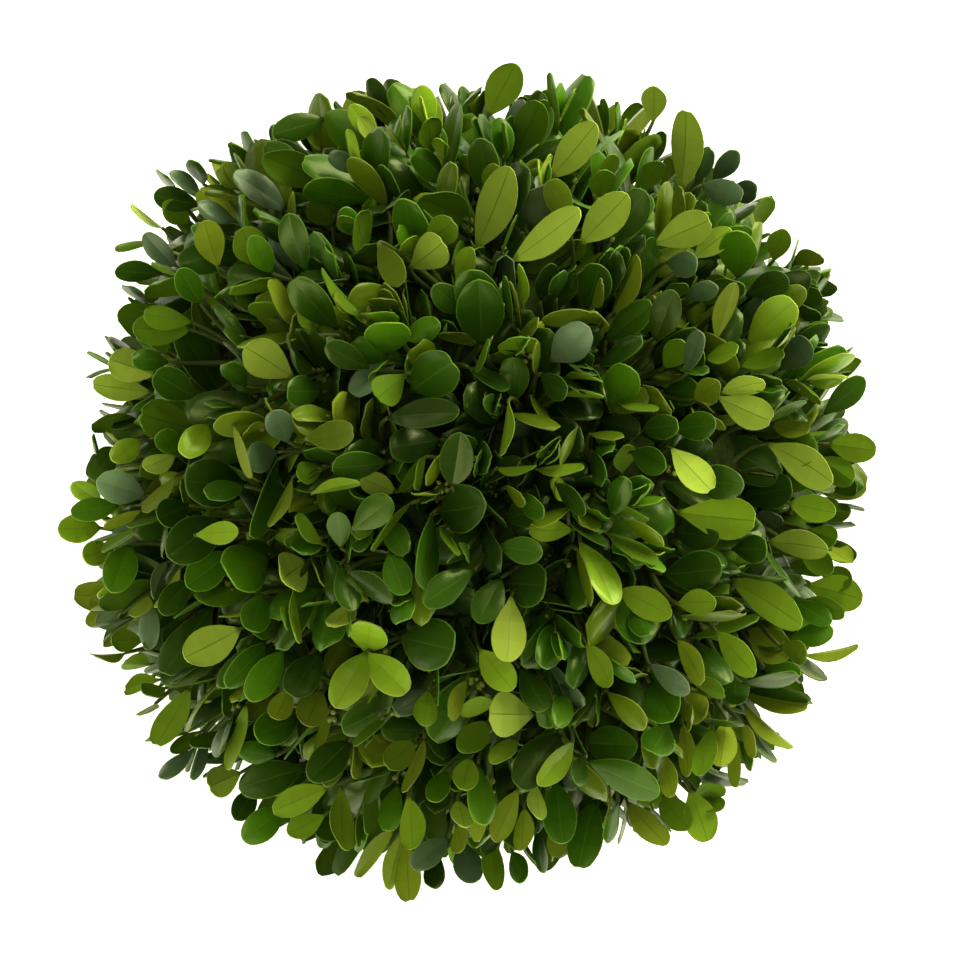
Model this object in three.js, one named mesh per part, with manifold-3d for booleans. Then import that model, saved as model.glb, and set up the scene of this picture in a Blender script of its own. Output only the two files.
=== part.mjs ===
// A clipped ball of box: a short leaning stem inside, and six masses of small leathery leaves round its
// fork. Every twig points away from the fork, so the ball is a burr of short sprigs with their leaves in
// crossed pairs. Millimetres, +Z up. The origin is the centre of the flat cut under the stem, at ground
// level.
import * as THREE from "three";
import { mergeVertices } from "three/addons/utils/BufferGeometryUtils.js";
import Module from "manifold-3d";

const wasm = await Module();
wasm.setup();

const DEGREE = Math.PI / 180;
const UP = new THREE.Vector3(0, 0, 1);
const MERGED_WITHIN = 1e-3;
// The seeded numbers: how a site and a draw are scattered, and which draw each choice takes.
const SCATTER = { site: 12.9898, draw: 78.233, scale: 43758.5453 };
const DRAW = { height: 1, azimuth: 2, reach: 3, leaf: 4, roll: 30 };
const DRAWS_A_LEAF = 3;
const DRAWS_A_PAIR = 10;

// The ball: its mean diameter over the leaf tips, and the centre that those tips lie round.
const BALL_DIAMETER = 200;
const BALL_RADIUS = BALL_DIAMETER / 2;
const CENTRE = new THREE.Vector3(0, 0, 1.03 * BALL_RADIUS);
// Lobes of the outline seen from above: how many crests, how far they swell, and where one crest stands.
const LOBES = [
  { crests: 2, swell: 0.021, at: 81 },
  { crests: 3, swell: 0.009, at: 29 },
  { crests: 4, swell: 0.021, at: 46 },
  { crests: 6, swell: 0.013, at: 12 },
];
// The same from pole to pole.
const WAIST = { crests: 4, swell: 0.012 };

// The fork that all sprigs point away from. It stands off the ball's centre, so the stem leans towards it.
const FORK_ASIDE = new THREE.Vector3(18, 8, 0);
const FORK = CENTRE.clone().add(FORK_ASIDE);
const STEM_FOOT_RADIUS = 8.5;
const STEM_RADIUS = 5.2;
const STEM_TIP_RADIUS = 3.6;
const FLARE_HEIGHT = 14;
const FLARE_LOBES = 5;
const FLARE_LOBE_DEPTH = 0.1;
const STEM_SIDES = 20;
// The heights of the stem's rings: shares of the flare's height, then shares of the fork's.
const FLARE_RINGS = [0, 0.18, 0.36, 0.57, 0.79, 1];
const SHAFT_RINGS = [0.4, 0.7];

// Solids that meet keep this much air between them, and nothing but the stem comes nearer the ground than
// this.
const GAP = 0.3;
const GROUND_CLEARANCE = 0.8;

// The masses: one that points up, and five round the sides that point a little down.
const SIDE_MASSES = 5;
const SIDE_MASS_DROP = 10;
const FIRST_SIDE_AZIMUTH = -90;

// The dense heart of each mass, hollow round the fork, and the limb that joins it to the fork.
const CORE_RADIUS = 68;
const CORE_FACETS = 4;
const HOLLOW_FACETS = 1;
const FORK_HOLLOW = 17;
const LIMB_RADIUS = 2.6;
const LIMB_END_RADIUS = 3.4;
const LIMB_SIDES = 8;
const LIMB_SUNK = 4;
const LIMB_BELOW_FORK = 3.6;

// The sprigs: one twig at each site, with crossed pairs of leaves.
const SITES = 120;
const GOLDEN_ANGLE = 180 * (3 - Math.sqrt(5));
const SITE_JITTER = 0.35;
const TWIG_SUNK = 4;
const TWIG_RADIUS = 1.15;
const TWIG_TIP_RADIUS = 0.75;
const TWIG_SIDES = 3;
const REACH_JITTER = 6;
// Each pair of leaves: how far below the twig's tip it sits, how wide it opens, and its size against
// LEAF_LENGTH.
const PAIRS = [
  { below: 0.8, opens: 27, size: 1 },
  { below: 9.5, opens: 50, size: 1.04 },
];
const OPENING_JITTER = 14;
// Where a pair doesn't fit it is rolled round its twig, and where a leaf doesn't it is held closer to the
// twig.
const ROLLS_TRIED = [0, 45, 22, 67];
const OPENINGS_TRIED = [1, 0.65, 0.3];

// A leaf is larger than life, because each stands for several.
const LEAF_LENGTH = 26;
const LEAF_WIDTH = 16;
const LEAF_THICKNESS = 0.7;
const LEAF_DOME = 1.6;
const LEAF_SIZE_JITTER = 0.24;
// The outline from root to blunt tip: share of the length, and share of half the width.
const LEAF_OUTLINE = [
  [0.52, 1],
  [1, 0.42],
];
const LEAF_MIDDLE = 0.56;
// The finishes: grey-brown bark, and leaves of a dark green with a soft gloss.
const BARK = new THREE.MeshStandardMaterial({ color: 0x6b5a41, roughness: 0.85, metalness: 0 });
const FOLIAGE = new THREE.MeshStandardMaterial({ color: 0x2f4c0e, roughness: 0.4, metalness: 0 });

// A repeatable number from 0 to 1 for each site and draw.
function chance(site, draw) {
  const turned = Math.sin(site * SCATTER.site + draw * SCATTER.draw) * SCATTER.scale;
  return turned - Math.floor(turned);
}

function spread(site, draw, width) {
  return (chance(site, draw) - 0.5) * width;
}

// A unit vector at an azimuth and an elevation in degrees.
function towards(azimuth, elevation) {
  const flat = Math.cos(elevation * DEGREE);
  return new THREE.Vector3(
    flat * Math.cos(azimuth * DEGREE),
    flat * Math.sin(azimuth * DEGREE),
    Math.sin(elevation * DEGREE),
  );
}

// Two unit vectors square to a direction and to each other.
function acrossOf(direction) {
  const side = Math.abs(direction.z) > 0.9 ? new THREE.Vector3(1, 0, 0) : UP;
  const first = new THREE.Vector3().crossVectors(side, direction).normalize();
  const second = new THREE.Vector3().crossVectors(direction, first);
  return [first, second];
}

// How far the leaf tips reach from the ball's centre in a direction.
function reach(direction) {
  const azimuth = Math.atan2(direction.y, direction.x) / DEGREE;
  const level = 1 - direction.z * direction.z;
  let swell = WAIST.swell * Math.cos(WAIST.crests * Math.asin(direction.z));
  for (const lobe of LOBES) {
    swell += level * lobe.swell * Math.cos(lobe.crests * (azimuth - lobe.at) * DEGREE);
  }
  return BALL_RADIUS * (1 + swell);
}

// A closed indexed geometry from a list of Vector3 and a list of triangles.
function geometryOf(points, triangles) {
  const geometry = new THREE.BufferGeometry();
  const places = new Float32Array(points.flatMap((point) => point.toArray()));
  geometry.setAttribute("position", new THREE.BufferAttribute(places, 3));
  geometry.setIndex(triangles.flat());
  return geometry;
}

// A closed limb through rings of equally many points, with flat ends.
function skin(rings) {
  const sides = rings[0].length;
  const triangles = [];
  for (let ring = 0; ring + 1 < rings.length; ring += 1) {
    for (let side = 0; side < sides; side += 1) {
      const low = ring * sides;
      const next = (side + 1) % sides;
      triangles.push([low + side, low + next, low + sides + next]);
      triangles.push([low + side, low + sides + next, low + sides + side]);
    }
  }
  const last = (rings.length - 1) * sides;
  for (let side = 1; side + 1 < sides; side += 1) {
    triangles.push([0, side + 1, side]);
    triangles.push([last, last + side, last + side + 1]);
  }
  return geometryOf(rings.flat(), triangles);
}

// A straight tapering limb between two points.
function taper(from, to, fromRadius, toRadius, sides) {
  const direction = to.clone().sub(from).normalize();
  const [first, second] = acrossOf(direction);
  const ringAt = (middle, radius) =>
    Array.from({ length: sides }, (_, side) => {
      const turn = (2 * Math.PI * side) / sides;
      return middle
        .clone()
        .addScaledVector(first, radius * Math.cos(turn))
        .addScaledVector(second, radius * Math.sin(turn));
    });
  return skin([ringAt(from, fromRadius), ringAt(to, toRadius)]);
}

function solidOf(geometry) {
  return new wasm.Manifold(
    new wasm.Mesh({
      numProp: 3,
      vertProperties: new Float32Array(geometry.getAttribute("position").array),
      triVerts: new Uint32Array(geometry.index.array),
    }),
  );
}

// A faceted round solid.
function roundSolid(middle, radius, facets) {
  const geometry = new THREE.IcosahedronGeometry(radius, facets);
  geometry.deleteAttribute("normal");
  geometry.deleteAttribute("uv");
  geometry.translate(...middle.toArray());
  return solidOf(mergeVertices(geometry, MERGED_WITHIN));
}

function meshOf(solid, name, material) {
  const made = solid.getMesh();
  const geometry = new THREE.BufferGeometry();
  geometry.setAttribute("position", new THREE.BufferAttribute(made.vertProperties, 3));
  geometry.setIndex(new THREE.BufferAttribute(made.triVerts, 1));
  geometry.computeVertexNormals();
  const mesh = new THREE.Mesh(geometry, material);
  mesh.name = name;
  return mesh;
}

// The stem's radius at a height, with its flare above the ground.
function stemRadius(height) {
  const flare = Math.max(0, 1 - height / FLARE_HEIGHT) ** 2;
  const taperedTo = STEM_RADIUS + (STEM_TIP_RADIUS - STEM_RADIUS) * (height / FORK.z);
  return taperedTo + (STEM_FOOT_RADIUS - STEM_RADIUS) * flare;
}

// The stem's middle at a height: it leans evenly from the origin to the fork.
function stemMiddle(height) {
  return FORK.clone().multiplyScalar(height / FORK.z);
}

// The stem in level rings, wider by a margin. The cut at the ground is flat.
function stemGeometry(margin) {
  const flared = FLARE_RINGS.map((share) => share * FLARE_HEIGHT);
  const plain = SHAFT_RINGS.map((share) => share * FORK.z);
  const heights = [...flared, ...plain, FORK.z + margin];
  const rings = heights.map((height) => {
    const lobed = FLARE_LOBE_DEPTH * Math.max(0, 1 - height / FLARE_HEIGHT);
    return Array.from({ length: STEM_SIDES }, (_, side) => {
      const turn = (2 * Math.PI * side) / STEM_SIDES;
      const radius = (stemRadius(height) + margin) * (1 + lobed * Math.cos(FLARE_LOBES * turn));
      return stemMiddle(height).add(
        new THREE.Vector3(radius * Math.cos(turn), radius * Math.sin(turn), 0),
      );
    });
  });
  return skin(rings);
}

// The direction in which each mass's own limb leaves the fork, by the mass's name.
function massDirections() {
  const directions = new Map([["foliage_top", towards(0, 90)]]);
  for (let side = 0; side < SIDE_MASSES; side += 1) {
    const azimuth = FIRST_SIDE_AZIMUTH + (360 * side) / SIDE_MASSES;
    directions.set(`foliage_side_${side + 1}`, towards(azimuth, -SIDE_MASS_DROP));
  }
  return directions;
}

// A mass's own space: every point nearer in direction to its limb than to any other, seen from the fork.
// Each wall is a plane through the fork, given by its normal.
function wallsOf(name, directions) {
  const own = directions.get(name);
  return [...directions]
    .filter(([other]) => other !== name)
    .map(([, direction]) => own.clone().sub(direction).normalize());
}

function insideSpace(point, walls, margin) {
  const offset = point.clone().sub(FORK);
  return walls.every((wall) => wall.dot(offset) > margin);
}

// True if a point is above the ground and clear of the stem.
function inTheOpen(point, margin) {
  if (point.z < GROUND_CLEARANCE + margin) {
    return false;
  }
  if (point.z > FORK.z + GAP + margin) {
    return true;
  }
  const middle = stemMiddle(Math.max(0, point.z));
  return Math.hypot(point.x - middle.x, point.y - middle.y) > stemRadius(point.z) + GAP + margin;
}

// One leaf, from its root on the twig's axis: widest past its middle, blunt at its tip and domed. It
// points along `along`, and its upper face is turned to `face`.
function leafPoints(root, along, face, length, width) {
  const across = new THREE.Vector3().crossVectors(face, along);
  const at = (share, aside, raised) =>
    root
      .clone()
      .addScaledVector(along, share * length)
      .addScaledVector(across, (aside * width) / 2)
      .addScaledVector(face, raised);
  const left = LEAF_OUTLINE.map(([share, half]) => at(share, half, 0));
  const right = LEAF_OUTLINE.map(([share, half]) => at(share, -half, 0)).reverse();
  const rim = [root.clone(), ...left, ...right];
  const upper = at(LEAF_MIDDLE, 0, LEAF_DOME + LEAF_THICKNESS / 2);
  const lower = at(LEAF_MIDDLE, 0, LEAF_DOME - LEAF_THICKNESS / 2);
  return { rim, upper, lower };
}

function leafGeometry({ rim, upper, lower }) {
  const top = rim.length;
  const triangles = [];
  for (let corner = 0; corner < rim.length; corner += 1) {
    const next = (corner + 1) % rim.length;
    triangles.push([corner, top, next]);
    triangles.push([corner, next, top + 1]);
  }
  return geometryOf([...rim, upper, lower], triangles);
}

// Where a site's twig starts and ends, and which way it grows. The sites wind round the ball by the golden
// angle.
function twigAt(site) {
  const height = 1 - (2 * (site + 0.5 + spread(site, DRAW.height, SITE_JITTER))) / SITES;
  const between = 360 / Math.sqrt(SITES * Math.PI);
  const azimuth = site * GOLDEN_ANGLE + spread(site, DRAW.azimuth, SITE_JITTER) * between;
  const outward = towards(azimuth, Math.asin(height) / DEGREE);
  const reached = reach(outward) + spread(site, DRAW.reach, REACH_JITTER);
  const surface = CENTRE.clone().addScaledVector(outward, reached);
  const growth = surface.clone().sub(FORK).normalize();
  const leafTip = LEAF_LENGTH * Math.cos(PAIRS[0].opens * DEGREE) - PAIRS[0].below;
  const tip = surface.clone().addScaledVector(growth, -leafTip);
  // The twig starts where its line leaves the core.
  const fromCentre = tip.clone().sub(CENTRE);
  const ahead = fromCentre.dot(growth);
  const back = ahead - Math.sqrt(ahead ** 2 - fromCentre.lengthSq() + (CORE_RADIUS - TWIG_SUNK) ** 2);
  const start = tip.clone().addScaledVector(growth, -back);
  return { start, tip, growth };
}

// One leaf of a pair on a twig, with its solid, at a roll round the twig and a share of its usual opening.
function leafOn(site, twig, level, half, roll, openShare) {
  const pair = PAIRS[level];
  const [first, second] = acrossOf(twig.growth);
  const draw = DRAW.leaf + DRAWS_A_PAIR * level + (half ? DRAWS_A_LEAF : 0);
  const opens = (pair.opens + spread(site, draw, OPENING_JITTER)) * openShare * DEGREE;
  const size = pair.size * (1 + spread(site, draw + 1, LEAF_SIZE_JITTER));
  const turn = (360 * chance(site, DRAW.roll) + 90 * level + half + roll) * DEGREE;
  const attached = twig.tip.clone().addScaledVector(twig.growth, -pair.below);
  const aside = first.clone().multiplyScalar(Math.cos(turn)).addScaledVector(second, Math.sin(turn));
  const along = twig.growth.clone().multiplyScalar(Math.cos(opens)).addScaledVector(aside, Math.sin(opens));
  const face = twig.growth.clone().multiplyScalar(Math.sin(opens)).addScaledVector(aside, -Math.cos(opens));
  const points = leafPoints(attached, along, face, size * LEAF_LENGTH, size * LEAF_WIDTH);
  return { points, solid: solidOf(leafGeometry(points)) };
}

// True if a leaf keeps to its mass's space, off the ground and the stem.
function leafFits({ points }, walls) {
  const all = [...points.rim, points.upper, points.lower];
  return all.every((point) => insideSpace(point, walls, GAP) && inTheOpen(point, GAP));
}

// True if a leaf would cut through one that is already there.
function cutsAnother(leaf, placed) {
  const near = placed.filter((other) => other.points.upper.distanceTo(leaf.points.upper) < LEAF_LENGTH);
  return near.some((other) => !leaf.solid.intersect(other.solid).isEmpty());
}

// The widest leaf that keeps to its mass's space and cuts through no other, or nothing.
function fittingLeaf(site, twig, level, half, roll, walls, placed) {
  for (const openShare of OPENINGS_TRIED) {
    const leaf = leafOn(site, twig, level, half, roll, openShare);
    if (leafFits(leaf, walls) && !cutsAnother(leaf, placed)) {
      return leaf;
    }
  }
  return null;
}

// The leaves of one twig. Each pair is rolled round the twig to where most of it fits.
function leavesOn(site, twig, walls, placed) {
  const made = [];
  for (let level = 0; level < PAIRS.length; level += 1) {
    let best = [];
    for (const roll of ROLLS_TRIED) {
      const fitting = [0, 180]
        .map((half) => fittingLeaf(site, twig, level, half, roll, walls, [...placed, ...made]))
        .filter((leaf) => leaf);
      if (fitting.length > best.length) {
        best = fitting;
      }
    }
    made.push(...best);
  }
  return made;
}

// The share of a solid that lies in one mass's space.
function keptInSpace(solid, walls) {
  return walls.reduce((kept, wall) => kept.trimByPlane(wall.toArray(), wall.dot(FORK) + GAP / 2), solid);
}

// The ball's dense heart, with a hollow round the fork.
function heart() {
  return roundSolid(CENTRE, CORE_RADIUS, CORE_FACETS).subtract(roundSolid(FORK, FORK_HOLLOW, HOLLOW_FACETS));
}

// The limb that carries a mass: from just clear of the stem to well inside the core. A limb that rises
// starts at the stem's tip, and the others start at its side, just under the tip.
function limbOf(direction) {
  const start = FORK.clone();
  start.z -= direction.z > Math.SQRT1_2 ? 0 : LIMB_BELOW_FORK;
  const end = FORK.clone().addScaledVector(direction, FORK_HOLLOW + LIMB_SUNK);
  return solidOf(taper(start, end, LIMB_RADIUS, LIMB_END_RADIUS, LIMB_SIDES));
}

// A mass of foliage: its limb, its share of the heart, and every twig whose growth falls in its space, all
// fused.
function massOf(name, directions, stemRoom) {
  const walls = wallsOf(name, directions);
  const carried = heart().add(limbOf(directions.get(name)));
  const pieces = [keptInSpace(carried, walls).subtract(stemRoom)];
  const placed = [];
  for (let site = 0; site < SITES; site += 1) {
    const twig = twigAt(site);
    const ends = [twig.start, twig.tip];
    if (ends.every((end) => insideSpace(end, walls, TWIG_RADIUS + GAP) && inTheOpen(end, TWIG_RADIUS))) {
      pieces.push(solidOf(taper(twig.start, twig.tip, TWIG_RADIUS, TWIG_TIP_RADIUS, TWIG_SIDES)));
      placed.push(...leavesOn(site, twig, walls, placed));
    }
  }
  return wasm.Manifold.union([...pieces, ...placed.map((leaf) => leaf.solid)]);
}

const ball = new THREE.Group();
ball.name = "box_topiary_ball";
const stemRoom = solidOf(stemGeometry(GAP));
ball.add(meshOf(solidOf(stemGeometry(0)), "main_stem", BARK));
const directions = massDirections();
for (const name of directions.keys()) {
  ball.add(meshOf(massOf(name, directions, stemRoom), name, FOLIAGE));
}

export default ball;
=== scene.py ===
import math

import bpy
import numpy as np
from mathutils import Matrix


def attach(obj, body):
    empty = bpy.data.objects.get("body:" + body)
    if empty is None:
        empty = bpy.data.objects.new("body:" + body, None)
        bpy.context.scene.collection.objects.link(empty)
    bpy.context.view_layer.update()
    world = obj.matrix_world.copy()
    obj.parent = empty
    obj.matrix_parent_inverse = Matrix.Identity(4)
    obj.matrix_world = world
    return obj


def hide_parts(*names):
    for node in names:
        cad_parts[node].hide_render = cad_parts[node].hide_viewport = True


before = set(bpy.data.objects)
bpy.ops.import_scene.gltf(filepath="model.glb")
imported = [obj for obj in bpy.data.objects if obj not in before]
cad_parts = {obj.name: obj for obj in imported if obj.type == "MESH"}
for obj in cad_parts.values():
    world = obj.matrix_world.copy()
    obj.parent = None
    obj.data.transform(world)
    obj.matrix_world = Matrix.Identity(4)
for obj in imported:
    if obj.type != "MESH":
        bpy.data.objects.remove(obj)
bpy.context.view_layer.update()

MM = 0.001
UP = np.array([0.0, 0.0, 1.0])
RIGHT = np.array([1.0, 0.0, 0.0])
NEARLY_UPRIGHT = 0.9

# The source's ball: its mean radius over the leaf tips, its centre, its lobes and its fork.
BALL_RADIUS = 100.0
CENTRE = np.array([0.0, 0.0, 1.03 * BALL_RADIUS])
LOBES = (
    {"crests": 2, "swell": 0.021, "at": 81},
    {"crests": 3, "swell": 0.009, "at": 29},
    {"crests": 4, "swell": 0.021, "at": 46},
    {"crests": 6, "swell": 0.013, "at": 12},
)
WAIST = {"crests": 4, "swell": 0.012}
FORK = CENTRE + np.array([18.0, 8.0, 0.0])

# The seeded numbers: how a number and a draw are scattered, and which draw each choice takes.
SCATTER = {"number": 12.9898, "draw": 78.233, "scale": 43758.5453}
DRAW = {"height": 1, "azimuth": 2, "reach": 3, "tilt": 4, "tilt_way": 5, "cluster": 6}
DRAW |= {"roll": 30, "tone": 31, "kind": 32}

# The draws of leaves: where they start, how far apart pairs and the two leaves of a pair are, and which of a
# leaf's own draws each choice takes.
DRAW_LEAF = 40
DRAWS_A_LEAF = 20
DRAWS_A_PAIR = 50
OWN_DRAW = {"slimness": 0, "fullness": 1, "dome": 2, "bend": 3, "sway": 4, "notch": 5, "keel": 6}
OWN_DRAW |= {"opening": 8, "twist": 9, "turn": 10, "length": 11}
OWN_DRAW |= {"tone": 12, "olive": 13, "grey": 14, "shade": 15}

# Boughs and shoots wind round the ball by the golden angle, as in the source. The first row of shoots runs to
# the surface and the second fills the inside. A row says how short of the surface its shoots end and how far
# that strays, how many pairs of leaves they have, how much wider these open, and how much darker they are.
BOUGHS = 120
SHOOT_ROWS = (
    {"first": 0, "count": 430, "short": 0.9, "jitter": 7.0, "pairs": 6, "opens": 1.0, "tone": 0.0},
    {"first": 430, "count": 330, "short": 16.0, "jitter": 9.0, "pairs": 3, "opens": 2.1, "tone": -0.28},
)
GOLDEN_ANGLE = 180 * (3 - math.sqrt(5))
SITE_JITTER = 0.55
TILT = 24.0

# Each pair of leaves on a shoot, from its tip down: how far below the tip, how wide it opens, and its size.
# Pairs open less on shoots that grow straight up. Each leaf is twisted about itself, most of them a little.
PAIRS = (
    {"below": 0.4, "opens": 10, "size": 0.62},
    {"below": 3.0, "opens": 18, "size": 0.88},
    {"below": 7.0, "opens": 25, "size": 1.04},
    {"below": 12.0, "opens": 32, "size": 1.1},
    {"below": 17.5, "opens": 40, "size": 1.05},
    {"below": 23.0, "opens": 48, "size": 1.0},
)
OPENING_JITTER = 22
UPRIGHT = 0.75
UPRIGHT_POWER = 6
TWIST = 22
MORE_TWIST = 70
TURN_JITTER = 16

# A pair is tried at a few rolls round its shoot and a few shares of its opening, and the one that costs the
# least is kept, but for its leaves with too many cuts.
ROLLS_TRIED = (0, 35, -35, 18, 60)
OPENINGS_TRIED = (1, 0.65)
MOST_CUTS = 3
COST_OF_A_MISSING_LEAF = 5

# A leaf: its length in the middle of the range, how far lengths stray, and its width against its length.
LEAF_LENGTH = 17.0
LEAF_LENGTH_SPREAD = 0.44
LEAF_SLIMNESS = (0.43, 0.6)
LEAF_THICKNESS = 0.3
TIP_LEAF_REACH = 12.0

# How a leaf's shape strays: the least value and what a draw can add, or the middle and the width of a spread.
FULLNESS = {"least": 1.1, "more": 0.36}
DOME = {"least": 0.08, "more": 0.3}
BEND = {"middle": 0.1, "spread": 0.34}
MOST_KEEL = 0.45
SWAY_SPREAD = 0.12
MOST_NOTCH = 0.045


def chance(number, draw):
    """A repeatable number from 0 to 1 for each number and draw."""
    scattered = math.sin(number * SCATTER["number"] + draw * SCATTER["draw"]) * SCATTER["scale"]
    return scattered - math.floor(scattered)


def spread(number, draw, width):
    return (chance(number, draw) - 0.5) * width


def unit(vector):
    return vector / np.linalg.norm(vector)


def towards(azimuth, elevation):
    """A unit vector at an azimuth and an elevation in degrees."""
    azimuth, elevation = math.radians(azimuth), math.radians(elevation)
    flat = math.cos(elevation)
    return np.array([flat * math.cos(azimuth), flat * math.sin(azimuth), math.sin(elevation)])


def across_of(direction):
    """Two unit vectors square to a direction and to each other."""
    side = RIGHT if abs(direction[2]) > NEARLY_UPRIGHT else UP
    first = unit(np.cross(side, direction))
    return first, np.cross(direction, first)


def reach(direction):
    """How far the leaf tips reach from the ball's centre in a direction."""
    azimuth = math.degrees(math.atan2(direction[1], direction[0]))
    level = 1 - direction[2] ** 2
    swell = WAIST["swell"] * math.cos(WAIST["crests"] * math.asin(max(-1, min(1, direction[2]))))
    for lobe in LOBES:
        swell += level * lobe["swell"] * math.cos(math.radians(lobe["crests"] * (azimuth - lobe["at"])))
    return BALL_RADIUS * (1 + swell)


def spiral_direction(number, count):
    """The direction of one of `count` places that wind round the ball by the golden angle."""
    height = 1 - 2 * (number + 0.5 + spread(number, DRAW["height"], SITE_JITTER)) / count
    between = 360 / math.sqrt(count * math.pi)
    azimuth = number * GOLDEN_ANGLE + spread(number, DRAW["azimuth"], SITE_JITTER) * between
    return towards(azimuth, math.degrees(math.asin(max(-1, min(1, height)))))


# The camera looks steeply down on the ball, and the ball's centre falls on its own pixel of the photograph.
PHOTO_SIZE = (970, 972)
BALL_PIXEL = (471, 479)
BALL_PIXEL_RADIUS = 403
CAMERA_ELEVATION = 80
CAMERA_DISTANCE = 1200.0
SENSOR_WIDTH = 36.0
PIXELS_A_TANGENT = BALL_PIXEL_RADIUS / math.tan(math.asin(BALL_RADIUS / CAMERA_DISTANCE))
CAMERA_BACK = towards(-90, CAMERA_ELEVATION)
CAMERA_UP = np.cross(CAMERA_BACK, RIGHT)
CAMERA_CLIP = (0.01, 50)


def offset_of(pixel):
    """Where a pixel lies right of and above the middle of the view, at a distance of 1."""
    right, up = pixel[0] - PHOTO_SIZE[0] / 2, PHOTO_SIZE[1] / 2 - pixel[1]
    return right / PIXELS_A_TANGENT, up / PIXELS_A_TANGENT


def camera_place():
    right, up = offset_of(BALL_PIXEL)
    return CENTRE + CAMERA_DISTANCE * (CAMERA_BACK - right * RIGHT - up * CAMERA_UP)


CAMERA_PLACE = camera_place()


def make_camera():
    data = bpy.data.cameras.new("camera")
    data.sensor_width = SENSOR_WIDTH
    data.lens = PIXELS_A_TANGENT * SENSOR_WIDTH / max(PHOTO_SIZE)
    data.clip_start, data.clip_end = CAMERA_CLIP
    camera = bpy.data.objects.new("camera", data)
    camera.location = CAMERA_PLACE * MM
    camera.rotation_euler = (math.radians(90 - CAMERA_ELEVATION), 0, 0)
    bpy.context.scene.collection.objects.link(camera)
    bpy.context.scene.camera = camera


def linear(code):
    """Linear light from a colour's hexadecimal code."""
    parts = [int(code[at : at + 2], 16) / 255 for at in (1, 3, 5)]
    return tuple(part / 12.92 if part < 0.04045 else ((part + 0.055) / 1.055) ** 2.4 for part in parts)


def plain_material(name, colour, roughness, specular=0.5, tint="#ffffff"):
    """A material of one colour, given in linear light."""
    material = bpy.data.materials.new(name)
    material.use_nodes = True
    shader = material.node_tree.nodes["Principled BSDF"]
    shader.inputs["Base Color"].default_value = (*colour, 1)
    shader.inputs["Roughness"].default_value = roughness
    shader.inputs["Specular IOR Level"].default_value = specular
    shader.inputs["Specular Tint"].default_value = (*linear(tint), 1)
    return material


# The noise in materials: how strong its relief is, how detailed it is for grain, gloss and mottle, how much
# wider the patches of gloss are than the grain, and where on the noise the mottle is darkest and lightest.
BUMP_STRENGTH = 0.5
GRAIN_DETAIL = 4
GLOSS_DETAIL = 2
MOTTLE_DETAIL = 3
GLOSS_PATCHES = 4
MOTTLE_RAMP = (0.3, 0.7)


def noise_of(material, scale, detail):
    """Soft noise through the material, in the object's own space. The scale is in waves a metre."""
    nodes, links = material.node_tree.nodes, material.node_tree.links
    place = nodes.new("ShaderNodeTexCoord")
    noise = nodes.new("ShaderNodeTexNoise")
    noise.inputs["Scale"].default_value = scale
    noise.inputs["Detail"].default_value = detail
    links.new(place.outputs["Object"], noise.inputs["Vector"])
    return noise.outputs["Fac"]


def add_grain(material, scale, depth, gloss_spread):
    """Fine grain in a material's relief, and soft patches where its gloss is higher or lower."""
    nodes, links = material.node_tree.nodes, material.node_tree.links
    shader = nodes["Principled BSDF"]
    bump = nodes.new("ShaderNodeBump")
    bump.inputs["Strength"].default_value = BUMP_STRENGTH
    bump.inputs["Distance"].default_value = depth * MM
    links.new(noise_of(material, scale, GRAIN_DETAIL), bump.inputs["Height"])
    links.new(bump.outputs["Normal"], shader.inputs["Normal"])
    gloss = nodes.new("ShaderNodeMapRange")
    middle = shader.inputs["Roughness"].default_value
    gloss.inputs["To Min"].default_value = middle - gloss_spread
    gloss.inputs["To Max"].default_value = middle + gloss_spread
    links.new(noise_of(material, scale / GLOSS_PATCHES, GLOSS_DETAIL), gloss.inputs["Value"])
    links.new(gloss.outputs["Result"], shader.inputs["Roughness"])


def add_mottle(material, scale, spread_of_light):
    """Soft patches where a material's colour is a little lighter or darker."""
    nodes, links = material.node_tree.nodes, material.node_tree.links
    shader = nodes["Principled BSDF"]
    base = shader.inputs["Base Color"].default_value[:3]
    ramp = nodes.new("ShaderNodeValToRGB")
    shares = (1 - spread_of_light, 1 + spread_of_light)
    for element, place, share in zip(ramp.color_ramp.elements, MOTTLE_RAMP, shares):
        element.position = place
        element.color = (*[min(1, part * share) for part in base], 1)
    links.new(noise_of(material, scale, MOTTLE_DETAIL), ramp.inputs["Fac"])
    links.new(ramp.outputs["Color"], shader.inputs["Base Color"])


# The kinds of leaf, from the darkest and oldest to the youngest, then the olive and grey ones that stand
# apart from that row. The grey kind is partly the leaf's own dull green and partly painted sheen, and the
# silver kind is pale painted sheen. Each kind comes in a darker and a lighter shade. A leaf is of the first
# kind in TONES whose tone it stays under.
# Each margin colour is partly the leaf's own pale edge and partly a painted edge highlight.
LEAF_KINDS = {
    "deep": {"upper": "#1f370a", "lower": "#42600f", "margin": "#486626", "rib": "#34501a"},
    "dark": {"upper": "#28460a", "lower": "#4e6e12", "margin": "#567a2c", "rib": "#3c5c18"},
    "mid": {"upper": "#345c0a", "lower": "#62841a", "margin": "#66902e", "rib": "#4a6e1c"},
    "fresh": {"upper": "#4d7e0e", "lower": "#7f9f26", "margin": "#80a438", "rib": "#5d821f"},
    "lime": {"upper": "#86aa24", "lower": "#b2ca4e", "margin": "#aec458", "rib": "#7d9a26"},
    "olive": {"upper": "#586e0e", "lower": "#829426", "margin": "#82923a", "rib": "#5e701c"},
    "grey": {"upper": "#4b6347", "lower": "#6b7e59", "margin": "#6c7e5c", "rib": "#52684c"},
    "silver": {"upper": "#83a07c", "lower": "#9ab08c", "margin": "#8ca482", "rib": "#86a07e"},
}
GREY_KINDS = ("grey", "silver")
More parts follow.
